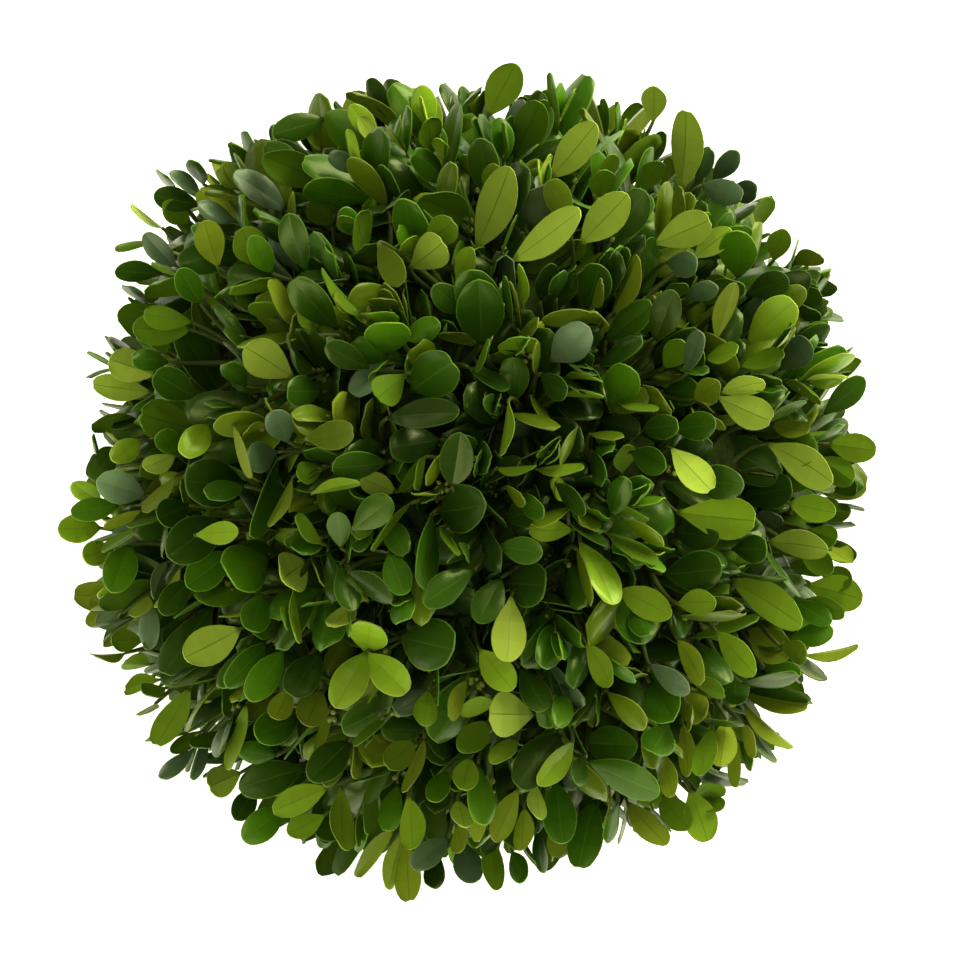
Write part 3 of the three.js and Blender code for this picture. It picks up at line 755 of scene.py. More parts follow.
# Leaves that stand out in the photograph, read off it. A row gives a kind, the side that shows, and its
# leaves: the pixel of the root, the pixel of the tip and the width in pixels. Each leaf gets a twig of its
# own. Where two overlap, the one that comes first is on top.
STANDING_OUT = (
    # The brightest and largest, which lie on top.
    ("lime", "lower", (477, 248, 509, 166, 36), (513, 260, 578, 209, 30), (581, 243, 628, 196, 36),
     (654, 244, 713, 220, 35), (552, 177, 597, 123, 33), (653, 122, 656, 85, 26), (511, 597, 510, 662, 33),
     (533, 715, 493, 714, 44), (293, 377, 243, 345, 38), (307, 562, 277, 580, 42), (718, 397, 770, 424, 33),
     (722, 393, 765, 378, 20), (768, 444, 835, 478, 36), (672, 449, 715, 492, 30), (769, 542, 829, 546, 28),
     (410, 268, 444, 244, 36), (240, 629, 185, 660, 38), (240, 773, 205, 788, 32)),
    ("lime", "upper", (747, 343, 794, 301, 38), (365, 653, 338, 707, 34), (367, 653, 406, 694, 33),
     (365, 651, 372, 629, 38)),
    ("fresh", "lower", (677, 512, 756, 524, 42), (731, 581, 802, 624, 34), (620, 590, 672, 614, 30),
     (424, 246, 456, 220, 30), (690, 790, 710, 842, 34), (327, 788, 272, 812, 28), (342, 786, 342, 851, 24),
     (480, 650, 512, 690, 30), (678, 604, 716, 599, 26)),
    ("fresh", "upper", (268, 556, 231, 578, 50), (272, 273, 250, 238, 24), (387, 355, 387, 323, 44),
     (404, 340, 441, 323, 23), (788, 640, 834, 632, 24), (283, 651, 250, 701, 30), (285, 809, 242, 838, 32)),
    ("lime", "lower", (681, 190, 686, 109, 32)),
    ("fresh", "lower", (488, 116, 515, 64, 36)),
    ("olive", "upper", (305, 439, 355, 434, 28), (445, 210, 450, 161, 18), (378, 243, 402, 286, 24),
     (387, 207, 352, 158, 22)),
    ("fresh", "lower", (790, 503, 836, 514, 28), (829, 444, 877, 451, 30), (807, 585, 865, 597, 36)),
    ("olive", "lower", (218, 266, 202, 221, 30), (627, 802, 666, 846, 26), (406, 840, 408, 904, 26)),
    ("grey", "upper", (696, 181, 710, 148, 18), (713, 181, 739, 154, 20), (702, 185, 743, 199, 26)),
    ("silver", "upper", (551, 361, 588, 331, 36)),
    ("grey", "upper", (666, 262, 695, 266, 26)),
    ("silver", "upper", (145, 495, 98, 480, 34)),
    ("grey", "upper", (288, 442, 274, 410, 27), (277, 452, 249, 459, 30), (285, 210, 234, 173, 26),
     (649, 664, 690, 692, 20), (729, 190, 759, 194, 24)),
    ("dark", "upper", (452, 486, 463, 434, 32)),
    ("mid", "upper", (482, 344, 479, 281, 46), (501, 578, 479, 623, 30)),
    ("fresh", "upper", (738, 277, 740, 233, 38)),
    ("mid", "upper", (824, 414, 865, 380, 25), (372, 201, 304, 186, 28), (339, 329, 291, 280, 32),
     (412, 390, 456, 358, 46), (588, 762, 659, 792, 32)),
    ("dark", "upper", (440, 512, 488, 508, 46), (505, 583, 550, 588, 44), (400, 637, 452, 652, 51),
     (709, 439, 781, 474, 44), (743, 496, 794, 489, 36), (663, 574, 724, 572, 40), (675, 531, 719, 540, 30),
     (732, 549, 769, 549, 28), (324, 119, 272, 134, 28), (322, 392, 285, 390, 30), (348, 742, 309, 781, 34),
     (320, 653, 292, 694, 34)),
    # Round the middle, where many leaves show their edges.
    ("olive", "upper", (512, 345, 539, 320, 10), (602, 320, 543, 316, 16), (512, 414, 559, 425, 9),
     (577, 428, 561, 463, 6), (590, 434, 620, 436, 5), (506, 488, 523, 503, 7), (577, 550, 591, 604, 6),
     (536, 372, 536, 345, 5), (532, 396, 546, 420, 6)),
    ("mid", "lower", (497, 468, 537, 466, 7), (411, 503, 367, 544, 6), (604, 501, 649, 515, 5),
     (425, 457, 412, 488, 9), (398, 492, 425, 463, 11), (443, 528, 456, 555, 8), (474, 372, 494, 342, 7),
     (560, 440, 540, 452, 6), (620, 404, 655, 410, 7)),
    ("dark", "upper", (541, 374, 563, 398, 20), (468, 367, 510, 390, 13), (592, 452, 600, 484, 12)),
    ("mid", "upper", (519, 497, 541, 515, 17), (385, 520, 407, 552, 24), (432, 514, 419, 587, 20),
     (389, 553, 405, 596, 27), (474, 570, 423, 600, 30), (631, 452, 667, 466, 26)),
    ("dark", "upper", (349, 573, 394, 597, 20), (556, 484, 584, 512, 16)),
    ("mid", "upper", (516, 402, 515, 358, 28), (426, 462, 396, 480, 30), (498, 546, 542, 553, 26)),
    ("fresh", "upper", (610, 405, 633, 367, 36)),
    ("olive", "upper", (612, 412, 648, 390, 22), (446, 452, 428, 486, 8), (572, 507, 530, 524, 10)),
    ("fresh", "lower", (508, 402, 502, 455, 8), (537, 469, 583, 473, 11), (572, 495, 548, 484, 20),
     (622, 472, 626, 447, 20), (565, 396, 604, 395, 6), (565, 379, 599, 380, 5)),
    ("lime", "upper", (580, 542, 612, 606, 26)),
    ("deep", "upper", (388, 418, 458, 412, 26), (440, 440, 392, 446, 34), (600, 420, 640, 430, 24)),
    ("dark", "upper", (505, 520, 544, 505, 30), (569, 523, 603, 548, 8), (487, 483, 518, 458, 12)),
    ("fresh", "lower", (572, 530, 528, 532, 22)),
    ("mid", "upper", (612, 516, 624, 476, 22)),
    ("olive", "upper", (622, 518, 662, 545, 11), (607, 692, 645, 729, 20)),
    ("mid", "lower", (606, 532, 656, 563, 14), (404, 375, 378, 398, 32)),
    ("dark", "upper", (369, 368, 325, 348, 24)),
    ("mid", "upper", (306, 271, 287, 214, 27), (512, 322, 507, 277, 6), (486, 330, 474, 272, 42)),
    ("olive", "lower", (592, 306, 604, 282, 12), (476, 346, 441, 330, 12)),
    ("fresh", "lower", (522, 306, 519, 266, 8), (520, 276, 584, 240, 26), (457, 284, 472, 246, 20)),
    ("dark", "upper", (586, 308, 604, 264, 34), (556, 298, 559, 276, 15), (462, 312, 436, 286, 26)),
    ("deep", "upper", (540, 300, 548, 262, 20)),
    # At the upper left.
    ("fresh", "lower", (262, 266, 238, 228, 34), (146, 245, 118, 246, 9), (318, 330, 296, 303, 20)),
    ("mid", "lower", (190, 222, 160, 204, 24), (192, 322, 143, 312, 24), (190, 330, 133, 330, 32),
     (332, 226, 310, 200, 28), (276, 318, 252, 300, 20)),
    ("mid", "upper", (200, 303, 178, 268, 26), (168, 362, 134, 357, 22), (246, 386, 227, 365, 20)),
    ("dark", "upper", (222, 398, 180, 326, 34), (195, 398, 153, 372, 32), (162, 274, 115, 268, 22),
     (172, 190, 162, 173, 8), (203, 184, 190, 160, 14), (130, 348, 108, 342, 12)),
    ("deep", "upper", (200, 205, 153, 196, 26), (286, 245, 266, 224, 16)),
    ("grey", "upper", (176, 266, 143, 234, 22), (201, 198, 171, 172, 14), (146, 304, 124, 284, 10),
     (236, 222, 198, 205, 18), (300, 272, 270, 238, 12), (345, 360, 324, 346, 16)),
    ("lime", "lower", (155, 375, 107, 358, 34), (150, 392, 92, 386, 26), (162, 228, 128, 209, 7)),
    ("olive", "lower", (222, 358, 193, 298, 16)),
    ("mid", "lower", (110, 366, 91, 350, 6)),
    # On the left, where many leaves near the rim take lighter kinds as painted light.
    ("mid", "upper", (244, 486, 205, 494, 20)),
    ("dark", "upper", (246, 484, 187, 486, 48), (222, 520, 166, 556, 44), (188, 505, 158, 520, 30)),
    ("fresh", "lower", (200, 510, 176, 486, 14), (196, 535, 240, 530, 22), (312, 494, 360, 484, 10)),
    ("mid", "upper", (232, 552, 186, 586, 34), (277, 460, 249, 537, 18), (352, 530, 390, 500, 30),
     (341, 548, 336, 511, 22), (280, 552, 242, 546, 18), (340, 565, 352, 612, 24), (352, 574, 392, 592, 24),
     (262, 594, 250, 632, 30), (266, 643, 224, 684, 24)),
    ("dark", "upper", (388, 462, 332, 470, 26), (328, 552, 334, 604, 16), (212, 606, 165, 676, 36)),
    ("lime", "lower", (395, 492, 360, 480, 22), (175, 455, 142, 468, 20)),
    ("olive", "lower", (292, 478, 272, 526, 10)),
    ("lime", "upper", (208, 425, 185, 456, 28), (140, 440, 114, 462, 24)),
    ("olive", "lower", (233, 426, 250, 478, 7), (176, 476, 146, 514, 14), (143, 512, 104, 530, 9)),
    ("mid", "lower", (323, 544, 293, 520, 16), (142, 526, 101, 551, 9), (100, 456, 90, 437, 6)),
    ("fresh", "lower", (345, 562, 362, 600, 14), (294, 590, 295, 643, 8)),
    ("lime", "upper", (100, 500, 73, 484, 20)),
    ("mid", "upper", (180, 458, 160, 429, 24)),
    ("fresh", "upper", (130, 545, 110, 592, 34), (118, 506, 70, 513, 24)),
    ("lime", "upper", (100, 528, 59, 528, 30), (114, 548, 84, 556, 26), (134, 598, 98, 597, 14)),
    ("dark", "upper", (116, 448, 92, 480, 26), (192, 580, 157, 612, 26)),
    ("olive", "lower", (180, 568, 154, 606, 8), (148, 596, 136, 619, 18)),
    ("grey", "lower", (168, 562, 150, 598, 13)),
    # At the lower left.
    ("grey", "upper", (148, 598, 149, 648, 20), (194, 749, 160, 778, 16), (206, 732, 190, 780, 11)),
    ("fresh", "lower", (144, 640, 109, 641, 24), (165, 688, 142, 692, 16)),
    ("olive", "lower", (125, 653, 93, 658, 9)),
    ("fresh", "lower", (160, 680, 123, 688, 18), (150, 665, 121, 664, 16), (190, 688, 156, 748, 28),
     (246, 704, 229, 772, 13), (325, 815, 288, 836, 24)),
    ("mid", "upper", (248, 645, 225, 690, 22), (276, 756, 240, 752, 22), (297, 720, 255, 734, 34)),
    ("olive", "lower", (272, 690, 248, 720, 24), (290, 686, 276, 722, 24), (322, 690, 304, 728, 32)),
    ("dark", "upper", (306, 768, 240, 786, 36), (256, 788, 234, 820, 24)),
    ("olive", "lower", (330, 702, 320, 757, 9), (155, 704, 143, 714, 7)),
    # Below.
    ("olive", "lower", (467, 680, 446, 718, 16), (394, 829, 352, 874, 16), (424, 738, 402, 792, 10)),
    ("lime", "lower", (402, 834, 389, 889, 16), (458, 800, 466, 830, 20), (536, 785, 538, 822, 18)),
    ("lime", "upper", (573, 742, 541, 786, 22)),
    ("fresh", "lower", (496, 704, 460, 708, 18), (415, 742, 386, 766, 28), (514, 738, 495, 764, 20),
     (470, 758, 462, 790, 26), (408, 796, 416, 850, 26), (586, 642, 612, 686, 22)),
    ("fresh", "upper", (478, 764, 484, 824, 26), (446, 772, 430, 802, 22), (398, 784, 384, 830, 24),
     (568, 696, 556, 724, 22)),
    ("mid", "upper", (556, 782, 562, 846, 34), (594, 800, 578, 869, 36), (584, 744, 638, 742, 36)),
    ("mid", "lower", (488, 722, 462, 752, 28), (428, 690, 422, 728, 24), (492, 836, 494, 890, 22)),
    ("grey", "upper", (430, 690, 395, 712, 22), (462, 842, 472, 884, 30), (448, 838, 412, 868, 26)),
    ("dark", "upper", (520, 668, 546, 712, 28), (424, 730, 380, 730, 26), (560, 734, 514, 784, 38),
     (584, 758, 576, 782, 18), (538, 830, 541, 874, 14)),
    ("olive", "lower", (518, 790, 496, 842, 24), (524, 808, 524, 852, 20), (456, 826, 464, 852, 20)),
    ("deep", "upper", (424, 750, 416, 806, 18), (440, 856, 432, 886, 22)),
    ("mid", "upper", (512, 852, 524, 883, 20), (618, 802, 608, 842, 12)),
    # At the lower right.
    ("fresh", "lower", (717, 632, 756, 675, 26), (780, 646, 806, 656, 22)),
    ("olive", "lower", (748, 628, 787, 660, 36), (803, 655, 859, 650, 10), (678, 640, 706, 683, 20)),
    ("mid", "lower", (690, 637, 760, 622, 10), (692, 682, 726, 696, 16), (712, 728, 700, 778, 22)),
    ("dark", "upper", (690, 480, 744, 483, 34), (742, 683, 800, 678, 12), (745, 690, 815, 700, 14)),
    ("mid", "upper", (695, 640, 727, 686, 24), (735, 664, 736, 706, 28), (650, 684, 676, 720, 42)),
    ("olive", "lower", (745, 696, 808, 708, 22), (744, 703, 789, 751, 13), (726, 720, 722, 766, 28)),
    ("grey", "lower", (746, 720, 775, 764, 10)),
    ("olive", "lower", (742, 724, 757, 755, 13), (733, 744, 735, 787, 12), (688, 706, 693, 729, 8)),
    ("mid", "upper", (740, 742, 752, 767, 11), (668, 724, 652, 755, 34)),
    ("olive", "lower", (682, 724, 692, 776, 16), (665, 755, 672, 797, 18)),
    ("mid", "lower", (695, 795, 726, 785, 18), (660, 798, 690, 829, 30), (700, 796, 724, 810, 20)),
    # On the right.
    ("mid", "lower", (818, 458, 853, 480, 28), (815, 508, 851, 516, 22), (800, 550, 835, 570, 26),
     (820, 570, 853, 586, 26), (805, 600, 845, 613, 20), (808, 530, 835, 541, 24)),
    ("grey", "lower", (755, 520, 785, 517, 18), (838, 505, 863, 507, 4)),
    ("mid", "upper", (765, 668, 802, 676, 20), (792, 600, 832, 624, 22)),
    # At the upper right.
    ("lime", "lower", (694, 258, 730, 228, 24), (660, 254, 688, 250, 12)),
    ("grey", "upper", (684, 300, 716, 288, 18), (686, 374, 702, 332, 18), (735, 345, 765, 300, 14)),
    ("fresh", "lower", (774, 260, 782, 226, 24)),
    ("olive", "lower", (794, 264, 822, 254, 20), (612, 313, 641, 258, 18), (716, 340, 737, 284, 18),
     (694, 400, 720, 382, 24), (772, 424, 810, 434, 20)),
    ("dark", "upper", (746, 296, 788, 276, 28), (645, 296, 652, 237, 20), (655, 340, 676, 292, 30),
     (600, 366, 640, 334, 16), (642, 430, 676, 424, 24)),
    ("mid", "upper", (606, 340, 654, 306, 28), (664, 392, 701, 390, 28), (674, 430, 718, 424, 28)),
    ("mid", "lower", (664, 368, 686, 340, 26), (740, 366, 786, 354, 18)),
    ("fresh", "lower", (760, 224, 768, 196, 18), (706, 358, 738, 350, 18)),
    ("grey", "upper", (780, 370, 812, 342, 30)),
)
LOOKS = [
    {"kind": kind, "side": side, "root": leaf[:2], "tip": leaf[2:4], "width": leaf[4]}
    for kind, side, *row in STANDING_OUT
    for leaf in row
]

# How standing leaves are sunk under the ball of leaf tips, how long they are, and where they take painted
# shade and painted light.
DEPTHS_TRIED = np.arange(2, 18, 1.2)
COST_OF_COVERING = 4
MM_A_PIXEL = BALL_RADIUS / BALL_PIXEL_RADIUS
SHORTEST_LEAF = 11.5
LONGEST_LEAF = 22.0
LENGTHENED = 1.04
USUAL_SLIMNESS = 0.58
LEAST_SLIMNESS = 0.5
TURNED_SHARE = 0.94
BEND_SHARE = 0.5
DOME_SHARE = 0.7
MIDDLE_PIXEL = (500, 455)
PAINTED_SHADE_WITHIN = 160
PAINTED_LIGHT_BEYOND = 370
ROUNDS_TO_THE_BALL = 6
TWIG_BEND_BACK = 7


def ray_of(pixel):
    right, up = offset_of(pixel)
    return unit(-CAMERA_BACK + right * RIGHT + up * CAMERA_UP)


def on_the_ball(pixel, depth):
    """Where the ray of a pixel meets the ball of leaf tips, less a depth, or its nearest place to that."""
    ray = ray_of(pixel)
    towards_ball = CENTRE - CAMERA_PLACE
    middle = CAMERA_PLACE + ray * float(towards_ball @ ray)
    place = middle
    for _ in range(ROUNDS_TO_THE_BALL):
        radius = reach(unit(place - CENTRE)) - depth
        off_axis = np.linalg.norm(middle - CENTRE)
        place = middle - ray * math.sqrt(max(0, radius**2 - off_axis**2))
    return place


def standing_leaf(number, look, depth):
    """A leaf whose outline falls where the photograph shows it. Its root lies deeper than its tip."""
    tip = on_the_ball(look["tip"], depth)
    ray = ray_of(look["root"])
    flat_length = MM_A_PIXEL * math.dist(look["root"], look["tip"])
    flat_width = MM_A_PIXEL * look["width"]
    length = max(SHORTEST_LEAF, flat_length * LENGTHENED, flat_width / USUAL_SLIMNESS)
    length = min(LONGEST_LEAF, length)
    nearest = CAMERA_PLACE + ray * float((tip - CAMERA_PLACE) @ ray)
    deeper = math.sqrt(max(0, length**2 - np.linalg.norm(tip - nearest) ** 2))
    root = nearest + ray * deeper
    along = unit(tip - root)
    back = unit(CAMERA_PLACE - root)
    face = unit(back - along * float(back @ along))
    leaf = shape_of_leaf(number, DRAW_LEAF, np.linalg.norm(tip - root))
    leaf["width"] = max(flat_width, LEAST_SLIMNESS * leaf["length"])
    leaf["bend"] *= BEND_SHARE
    leaf["dome"] *= DOME_SHARE
    way = 1 if chance(number, DRAW["roll"]) > 0.5 else -1
    face = turned(face, along, way * TURNED_SHARE * math.acos(min(1, flat_width / leaf["width"])))
    if look["side"] == "lower":
        face = -face
    shade = shade_of(number, math.dist(look["tip"], MIDDLE_PIXEL))
    leaf.update(root=root, along=along, face=face, mass=mass_of(root))
    leaf.update(kind=look["kind"], shade=shade, grid=FINE)
    return leaf


def shade_of(number, from_middle):
    """Leaves near the middle of the view take the darker shade as painted shade, those near its rim the
    lighter one as painted light, and the rest either at random.
    """
    if PAINTED_SHADE_WITHIN < from_middle < PAINTED_LIGHT_BEYOND:
        return int(len(SHADES) * chance(number, DRAW["tone"]))
    return 0 if from_middle < PAINTED_LIGHT_BEYOND else 1


def place_standing(number, look, crowd, view):
    """A standing leaf, sunk until it lies under the standing leaves before it and cuts through the fewest."""
    best, fewest = None, None
    for depth in DEPTHS_TRIED:
        leaf = standing_leaf(number, look, depth)
        oval = crowd.oval_of(leaf)
        cost = crowd.cuts(oval) + (COST_OF_COVERING if view.covered(points_of(oval)) else 0)
        if fewest is None or cost < fewest:
            best, fewest = (leaf, oval), cost
        if cost == 0:
            break
    return best


def shoot_of(leaf):
    """The path of a twig of its own for a leaf, from the nearest bough."""
    root = leaf["root"]
    start = nearest_bough(root)["end"]
    growth = unit(unit(root - start) + leaf["along"])
    return curve(start, root - growth * TWIG_BEND_BACK, root, SHOOT_STEPS)


# How far in a leaf's oval a point still counts as before it, and the least slope of a ray to a leaf.
VIEW_INSIDE = 0.92
LEAST_SLOPE = 1e-6


class View:
    """What the standing leaves cover in the camera's view, so that other leaves keep off them."""

    def __init__(self):
        self.count = 0
        self.middle, self.along, self.across, self.face = np.zeros((4, len(LOOKS), 3))
        self.half = np.zeros((len(LOOKS), 2))

    def add(self, leaf):
        at = self.count
        self.middle[at] = leaf["root"] + leaf["along"] * leaf["length"] / 2
        self.along[at], self.face[at] = leaf["along"], leaf["face"]
        self.across[at] = np.cross(leaf["face"], leaf["along"])
        self.half[at] = leaf["length"] / 2, leaf["width"] / 2
        self.count += 1

    def covered(self, points):
        """True if any of the points lies before a standing leaf, as the camera sees it."""
        placed = slice(0, self.count)
        middle, half = self.middle[placed], self.half[placed]
        rays = points - CAMERA_PLACE
        height = np.einsum("kx,kx->k", middle - CAMERA_PLACE, self.face[placed])
        slope = rays @ self.face[placed].T
        share = height[None] / np.where(np.abs(slope) < LEAST_SLOPE, LEAST_SLOPE, slope)
        place = CAMERA_PLACE + rays[:, None] * share[..., None] - middle[None]
        lengthwise = np.einsum("pkx,kx->pk", place, self.along[placed]) / half[None, :, 0]
        crosswise = np.einsum("pkx,kx->pk", place, self.across[placed]) / half[None, :, 1]
        inside = (lengthwise**2 + crosswise**2 < VIEW_INSIDE) & (share > 1)
        return bool(inside.any())


def points_of(oval):
    """The middle of a leaf's oval and the points round its edge."""
    middle, *_, (starts, _) = oval
    return np.vstack([middle[None], starts[: len(CHORD_ANGLES)]])


# Everything is placed first, the standing leaves before the rest, so that the others make room for them.
crowd = Crowd()
view = View()
leaves, twigs, buds = [], [], []
for number, look in enumerate(LOOKS):
    leaf, oval = place_standing(number, look, crowd, view)
    crowd.add(oval)
    view.add(leaf)
    leaves.append(leaf)
    twigs.append({"path": shoot_of(leaf), "mass": leaf["mass"]})
crowd.standing = crowd.count


def allowed(oval):
    points = points_of(oval)
    return in_the_open(points) and not view.covered(points)


# A shoot ends in a bud, just past its outermost leaves. Flower buds sit in the axils of some leaves, a ring
# of them round the shoot.
TWIG_PAST_LEAVES = 0.8
BUD_PAST_LEAVES = 0.6
CLUSTER_SHARE = 0.35
CLUSTER_BELOW = 3.0
CLUSTER_BUDS = 5
CLUSTER_JITTER = 0.5
CLUSTER_LEAN = 0.5
CLUSTER_RADIUS = 0.7
CLUSTER_SIZE = {"least": 0.7, "more": 0.5}


def cluster_of_buds(number, place, growth, mass):
    first, second = across_of(growth)
    cluster = []
    for bud in range(CLUSTER_BUDS):
        draw = DRAW["cluster"] + bud
        turn = 2 * math.pi * (bud + CLUSTER_JITTER * chance(number, draw)) / CLUSTER_BUDS
        aside = unit(math.cos(turn) * first + math.sin(turn) * second + CLUSTER_LEAN * growth)
        size = CLUSTER_SIZE["least"] + CLUSTER_SIZE["more"] * chance(number, draw + CLUSTER_BUDS)
        cluster.append({"place": place + aside * CLUSTER_RADIUS, "growth": aside, "size": size, "mass": mass})
    return cluster


def end_shoot(shoot, below):
    """The twig of a shoot that has leaves from a distance below its tip, and its buds."""
    path, mass, number = shoot["path"], shoot["mass"], shoot["number"]
    end, growth = back_from_tip(path, below)
    keep = [point for point in path if float((end - point) @ growth) > 1] or [path[0]]
    twigs.append({"path": np.array([*keep, end + growth * TWIG_PAST_LEAVES]), "mass": mass})
    buds.append({"place": end + growth * BUD_PAST_LEAVES, "growth": growth, "size": 1.0, "mass": mass})
    if chance(number, DRAW["cluster"]) < CLUSTER_SHARE:
        place, growth = back_from_tip(path, below + CLUSTER_BELOW)
        buds.extend(cluster_of_buds(number, place, growth, mass))


for row in SHOOT_ROWS:
    for place in range(row["count"]):
        shoot = shoot_at(place, row)
        leafy = []
        for level in range(row["pairs"]):
            for leaf, oval, _ in place_pair(crowd, shoot, level, allowed):
                crowd.add(oval)
                leaves.append(leaf)
                leafy.append(level)
        if leafy:
            end_shoot(shoot, PAIRS[leafy[0]]["below"])


# What the pieces are made of, and how each is made and attached to its body.
SLOT_BARK = "bark"
SLOT_FOLIAGE = "foliage"


def finish_piece(piece, slot, *nodes):
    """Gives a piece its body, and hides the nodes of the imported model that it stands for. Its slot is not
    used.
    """
    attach(piece, "root")
    if nodes:
        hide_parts(*nodes)


def leaf_piece(name, members, materials):
    """Leaves joined into one mesh: the fine ones, then the coarse ones."""
    points, quads, numbers, flat = [], [], [], []
    start = 0
    for grid in (FINE, COARSE):
        own = [leaf for leaf in members if leaf["grid"] is grid]
        if not own:
            continue
        stacked = {key: np.array([leaf[key] for leaf in own]) for key in ("root", "along", "face", *SHAPE)}
        starts = start + (np.arange(len(own)) * grid.points)[:, None, None]
        kinds = np.array([list(LEAF_KINDS).index(leaf["kind"]) * len(SHADES) + leaf["shade"] for leaf in own])
        points.append(leaf_points(stacked, grid).reshape(-1, 3))
        quads.append((grid.quads[None] + starts).reshape(-1, 4))
        numbers.append((kinds[:, None] * len(SURFACES) + grid.surfaces[None]).ravel())
        flat.append(np.tile(np.arange(len(grid.quads)) >= grid.sheet_quads, len(own)))
        start += len(own) * grid.points
    return make_mesh(name, *map(np.concatenate, (points, quads, numbers)), materials, np.concatenate(flat))


def capped_grid(rings, sides):
    """The faces of a closed tube of `rings` rings, each with an even number of `sides` points."""
    quads = []
    for ring in range(rings - 1):
        low = ring * sides
        for corner in range(sides):
            following = (corner + 1) % sides
            quads.append([low + corner, low + following, low + sides + following, low + sides + corner])
    last = (rings - 1) * sides
    for corner in range(1, sides - 2, 2):
        quads.append([0, corner + 2, corner + 1, corner])
        quads.append([last, last + corner, last + corner + 1, last + corner + 2])
    return np.array(quads)


def tube_piece(name, tubes, sides, material):
    """Closed tubes along many paths, as one mesh. Each is given by its path and the radius at each point."""
    points, quads = [], []
    base = 0
    for path, radii in tubes:
        tangents = np.gradient(path, axis=0)
        side = across_of(unit(tangents[0]))[0]
        for place, tangent, radius in zip(path, tangents, radii):
            growth = unit(tangent)
            side = unit(side - growth * float(side @ growth))
            other = np.cross(growth, side)
            for corner in range(sides):
                turn = 2 * math.pi * corner / sides
                points.append(place + radius * (math.cos(turn) * side + math.sin(turn) * other))
        quads.append(base + capped_grid(len(path), sides))
        base += len(path) * sides
    quads = np.concatenate(quads)
    return make_mesh(name, np.array(points), quads, np.zeros(len(quads)), [material])


def tapered(path, first, last):
    return path, np.linspace(first, last, len(path))


# A bud is a small closed scale: how far each ring lies from its foot, and its radius, for a bud of size 1.
BUD_RINGS = ((0.0, 0.25), (0.45, 0.62), (0.95, 0.72), (1.45, 0.5), (1.8, 0.14))


def bud_tube(bud):
    path = np.array([bud["place"] + bud["growth"] * bud["size"] * height for height, _ in BUD_RINGS])
    return path, [bud["size"] * radius for _, radius in BUD_RINGS]


# The bark of the stem: long ridges that wander and fork, and short cracks across them.
STEM_RINGS = 110
STEM_SIDES = 96
RIDGE = {"depth": 0.32, "half_waves": 5.5, "wander": 0.16, "sharpness": 0.7}
WANDER = ({"sway": 0.5, "rise": 9, "start": 0}, {"sway": 0.3, "rise": 3.7, "start": 2})
CRACK = {"depth": 0.12, "waves": 17, "sway": 2.2, "sway_rise": 5, "rise": 2.3, "tilt": 3}


def bark_relief(turn, height):
    """How far the bark stands out from the stem's radius, at a turn round it and a height."""
    wander = sum(wave["sway"] * math.sin(height / wave["rise"] + wave["start"]) for wave in WANDER)
    ridges = 1 - abs(math.sin(RIDGE["half_waves"] * (turn + RIDGE["wander"] * wander))) ** RIDGE["sharpness"]
    round_it = math.sin(CRACK["waves"] * turn + CRACK["sway"] * math.sin(height / CRACK["sway_rise"]))
    up_it = math.sin(height / CRACK["rise"] + CRACK["tilt"] * math.sin(2 * turn))
    return -RIDGE["depth"] * ridges + CRACK["depth"] * (round_it * up_it)


def stem_piece(material):
    """The stem in level rings from the flat cut at the ground to the fork, with the relief of its bark."""
    points = []
    for height in np.linspace(0, FORK[2], STEM_RINGS):
        lobed = FLARE_LOBE_DEPTH * max(0, 1 - height / FLARE_HEIGHT)
        for side in range(STEM_SIDES):
            turn = 2 * math.pi * side / STEM_SIDES
            radius = stem_radius(height) * (1 + lobed * math.cos(FLARE_LOBES * turn))
            radius += bark_relief(turn, height)
            points.append(stem_middle(height) + radius * np.array([math.cos(turn), math.sin(turn), 0]))
    quads = capped_grid(STEM_RINGS, STEM_SIDES)
    return make_mesh("stem", np.array(points), quads, np.zeros(len(quads)), [material])


# The dark heart that fills the inside, its dark colour painted shade, which the gaps between the leaves look
# into.
HEART_RADIUS = 69.0
HEART_LUMPS = ((17, 1.3), (29, 0.9), (53, 0.5))
HEART_ROWS = 84


def heart_piece(material):
    """A lumpy ball in level rings, closed at its foot and its top."""
    points = []
    for row in range(HEART_ROWS):
        elevation = -90 + 180 * (row + 0.5) / HEART_ROWS
        for column in range(2 * HEART_ROWS):
            direction = towards(180 * column / HEART_ROWS, elevation)
            radius = HEART_RADIUS
            for waves, height in HEART_LUMPS:
                ahead = waves * direction
                radius += height * float(np.prod(np.sin(ahead + np.sin(np.roll(ahead, -1)))))
            points.append(CENTRE + radius * direction)
    quads = capped_grid(HEART_ROWS, 2 * HEART_ROWS)
    return make_mesh("heart", np.array(points), quads, np.zeros(len(quads)), [material])


foliage = leaf_materials()
for mass in MASS_DIRECTIONS:
    label = mass.removeprefix("foliage_")
    members = [leaf for leaf in leaves if leaf["mass"] == mass]
    parts = math.ceil(sum(leaf["grid"].triangles for leaf in members) / MOST_TRIANGLES)
    for part in range(parts):
        piece = leaf_piece(f"leaves_{label}_{part + 1}", members[part::parts], foliage)
        finish_piece(piece, SLOT_FOLIAGE, mass)

# The radii of twigs and boughs from their foot to their end, and how finely their tubes are made.
TWIG_RADII = (0.95, 0.42)
TWIG_SIDES = 6
BOUGH_RADII = (2.4, 1.4)
BOUGH_KNOBS = {"depth": 0.07, "turn": 2.4}
BOUGH_STEPS = 12
BOUGH_SIDES = 8


def bough_tube(bough):
    """A bough with low knobs where older shoots have been cut off."""
    path = curve(FORK, FORK * 0.5 + bough["end"] * 0.5, bough["end"], BOUGH_STEPS)
    knobs = 1 + BOUGH_KNOBS["depth"] * np.sin(np.arange(BOUGH_STEPS) * BOUGH_KNOBS["turn"])
    return path, np.linspace(*BOUGH_RADII, BOUGH_STEPS) * knobs


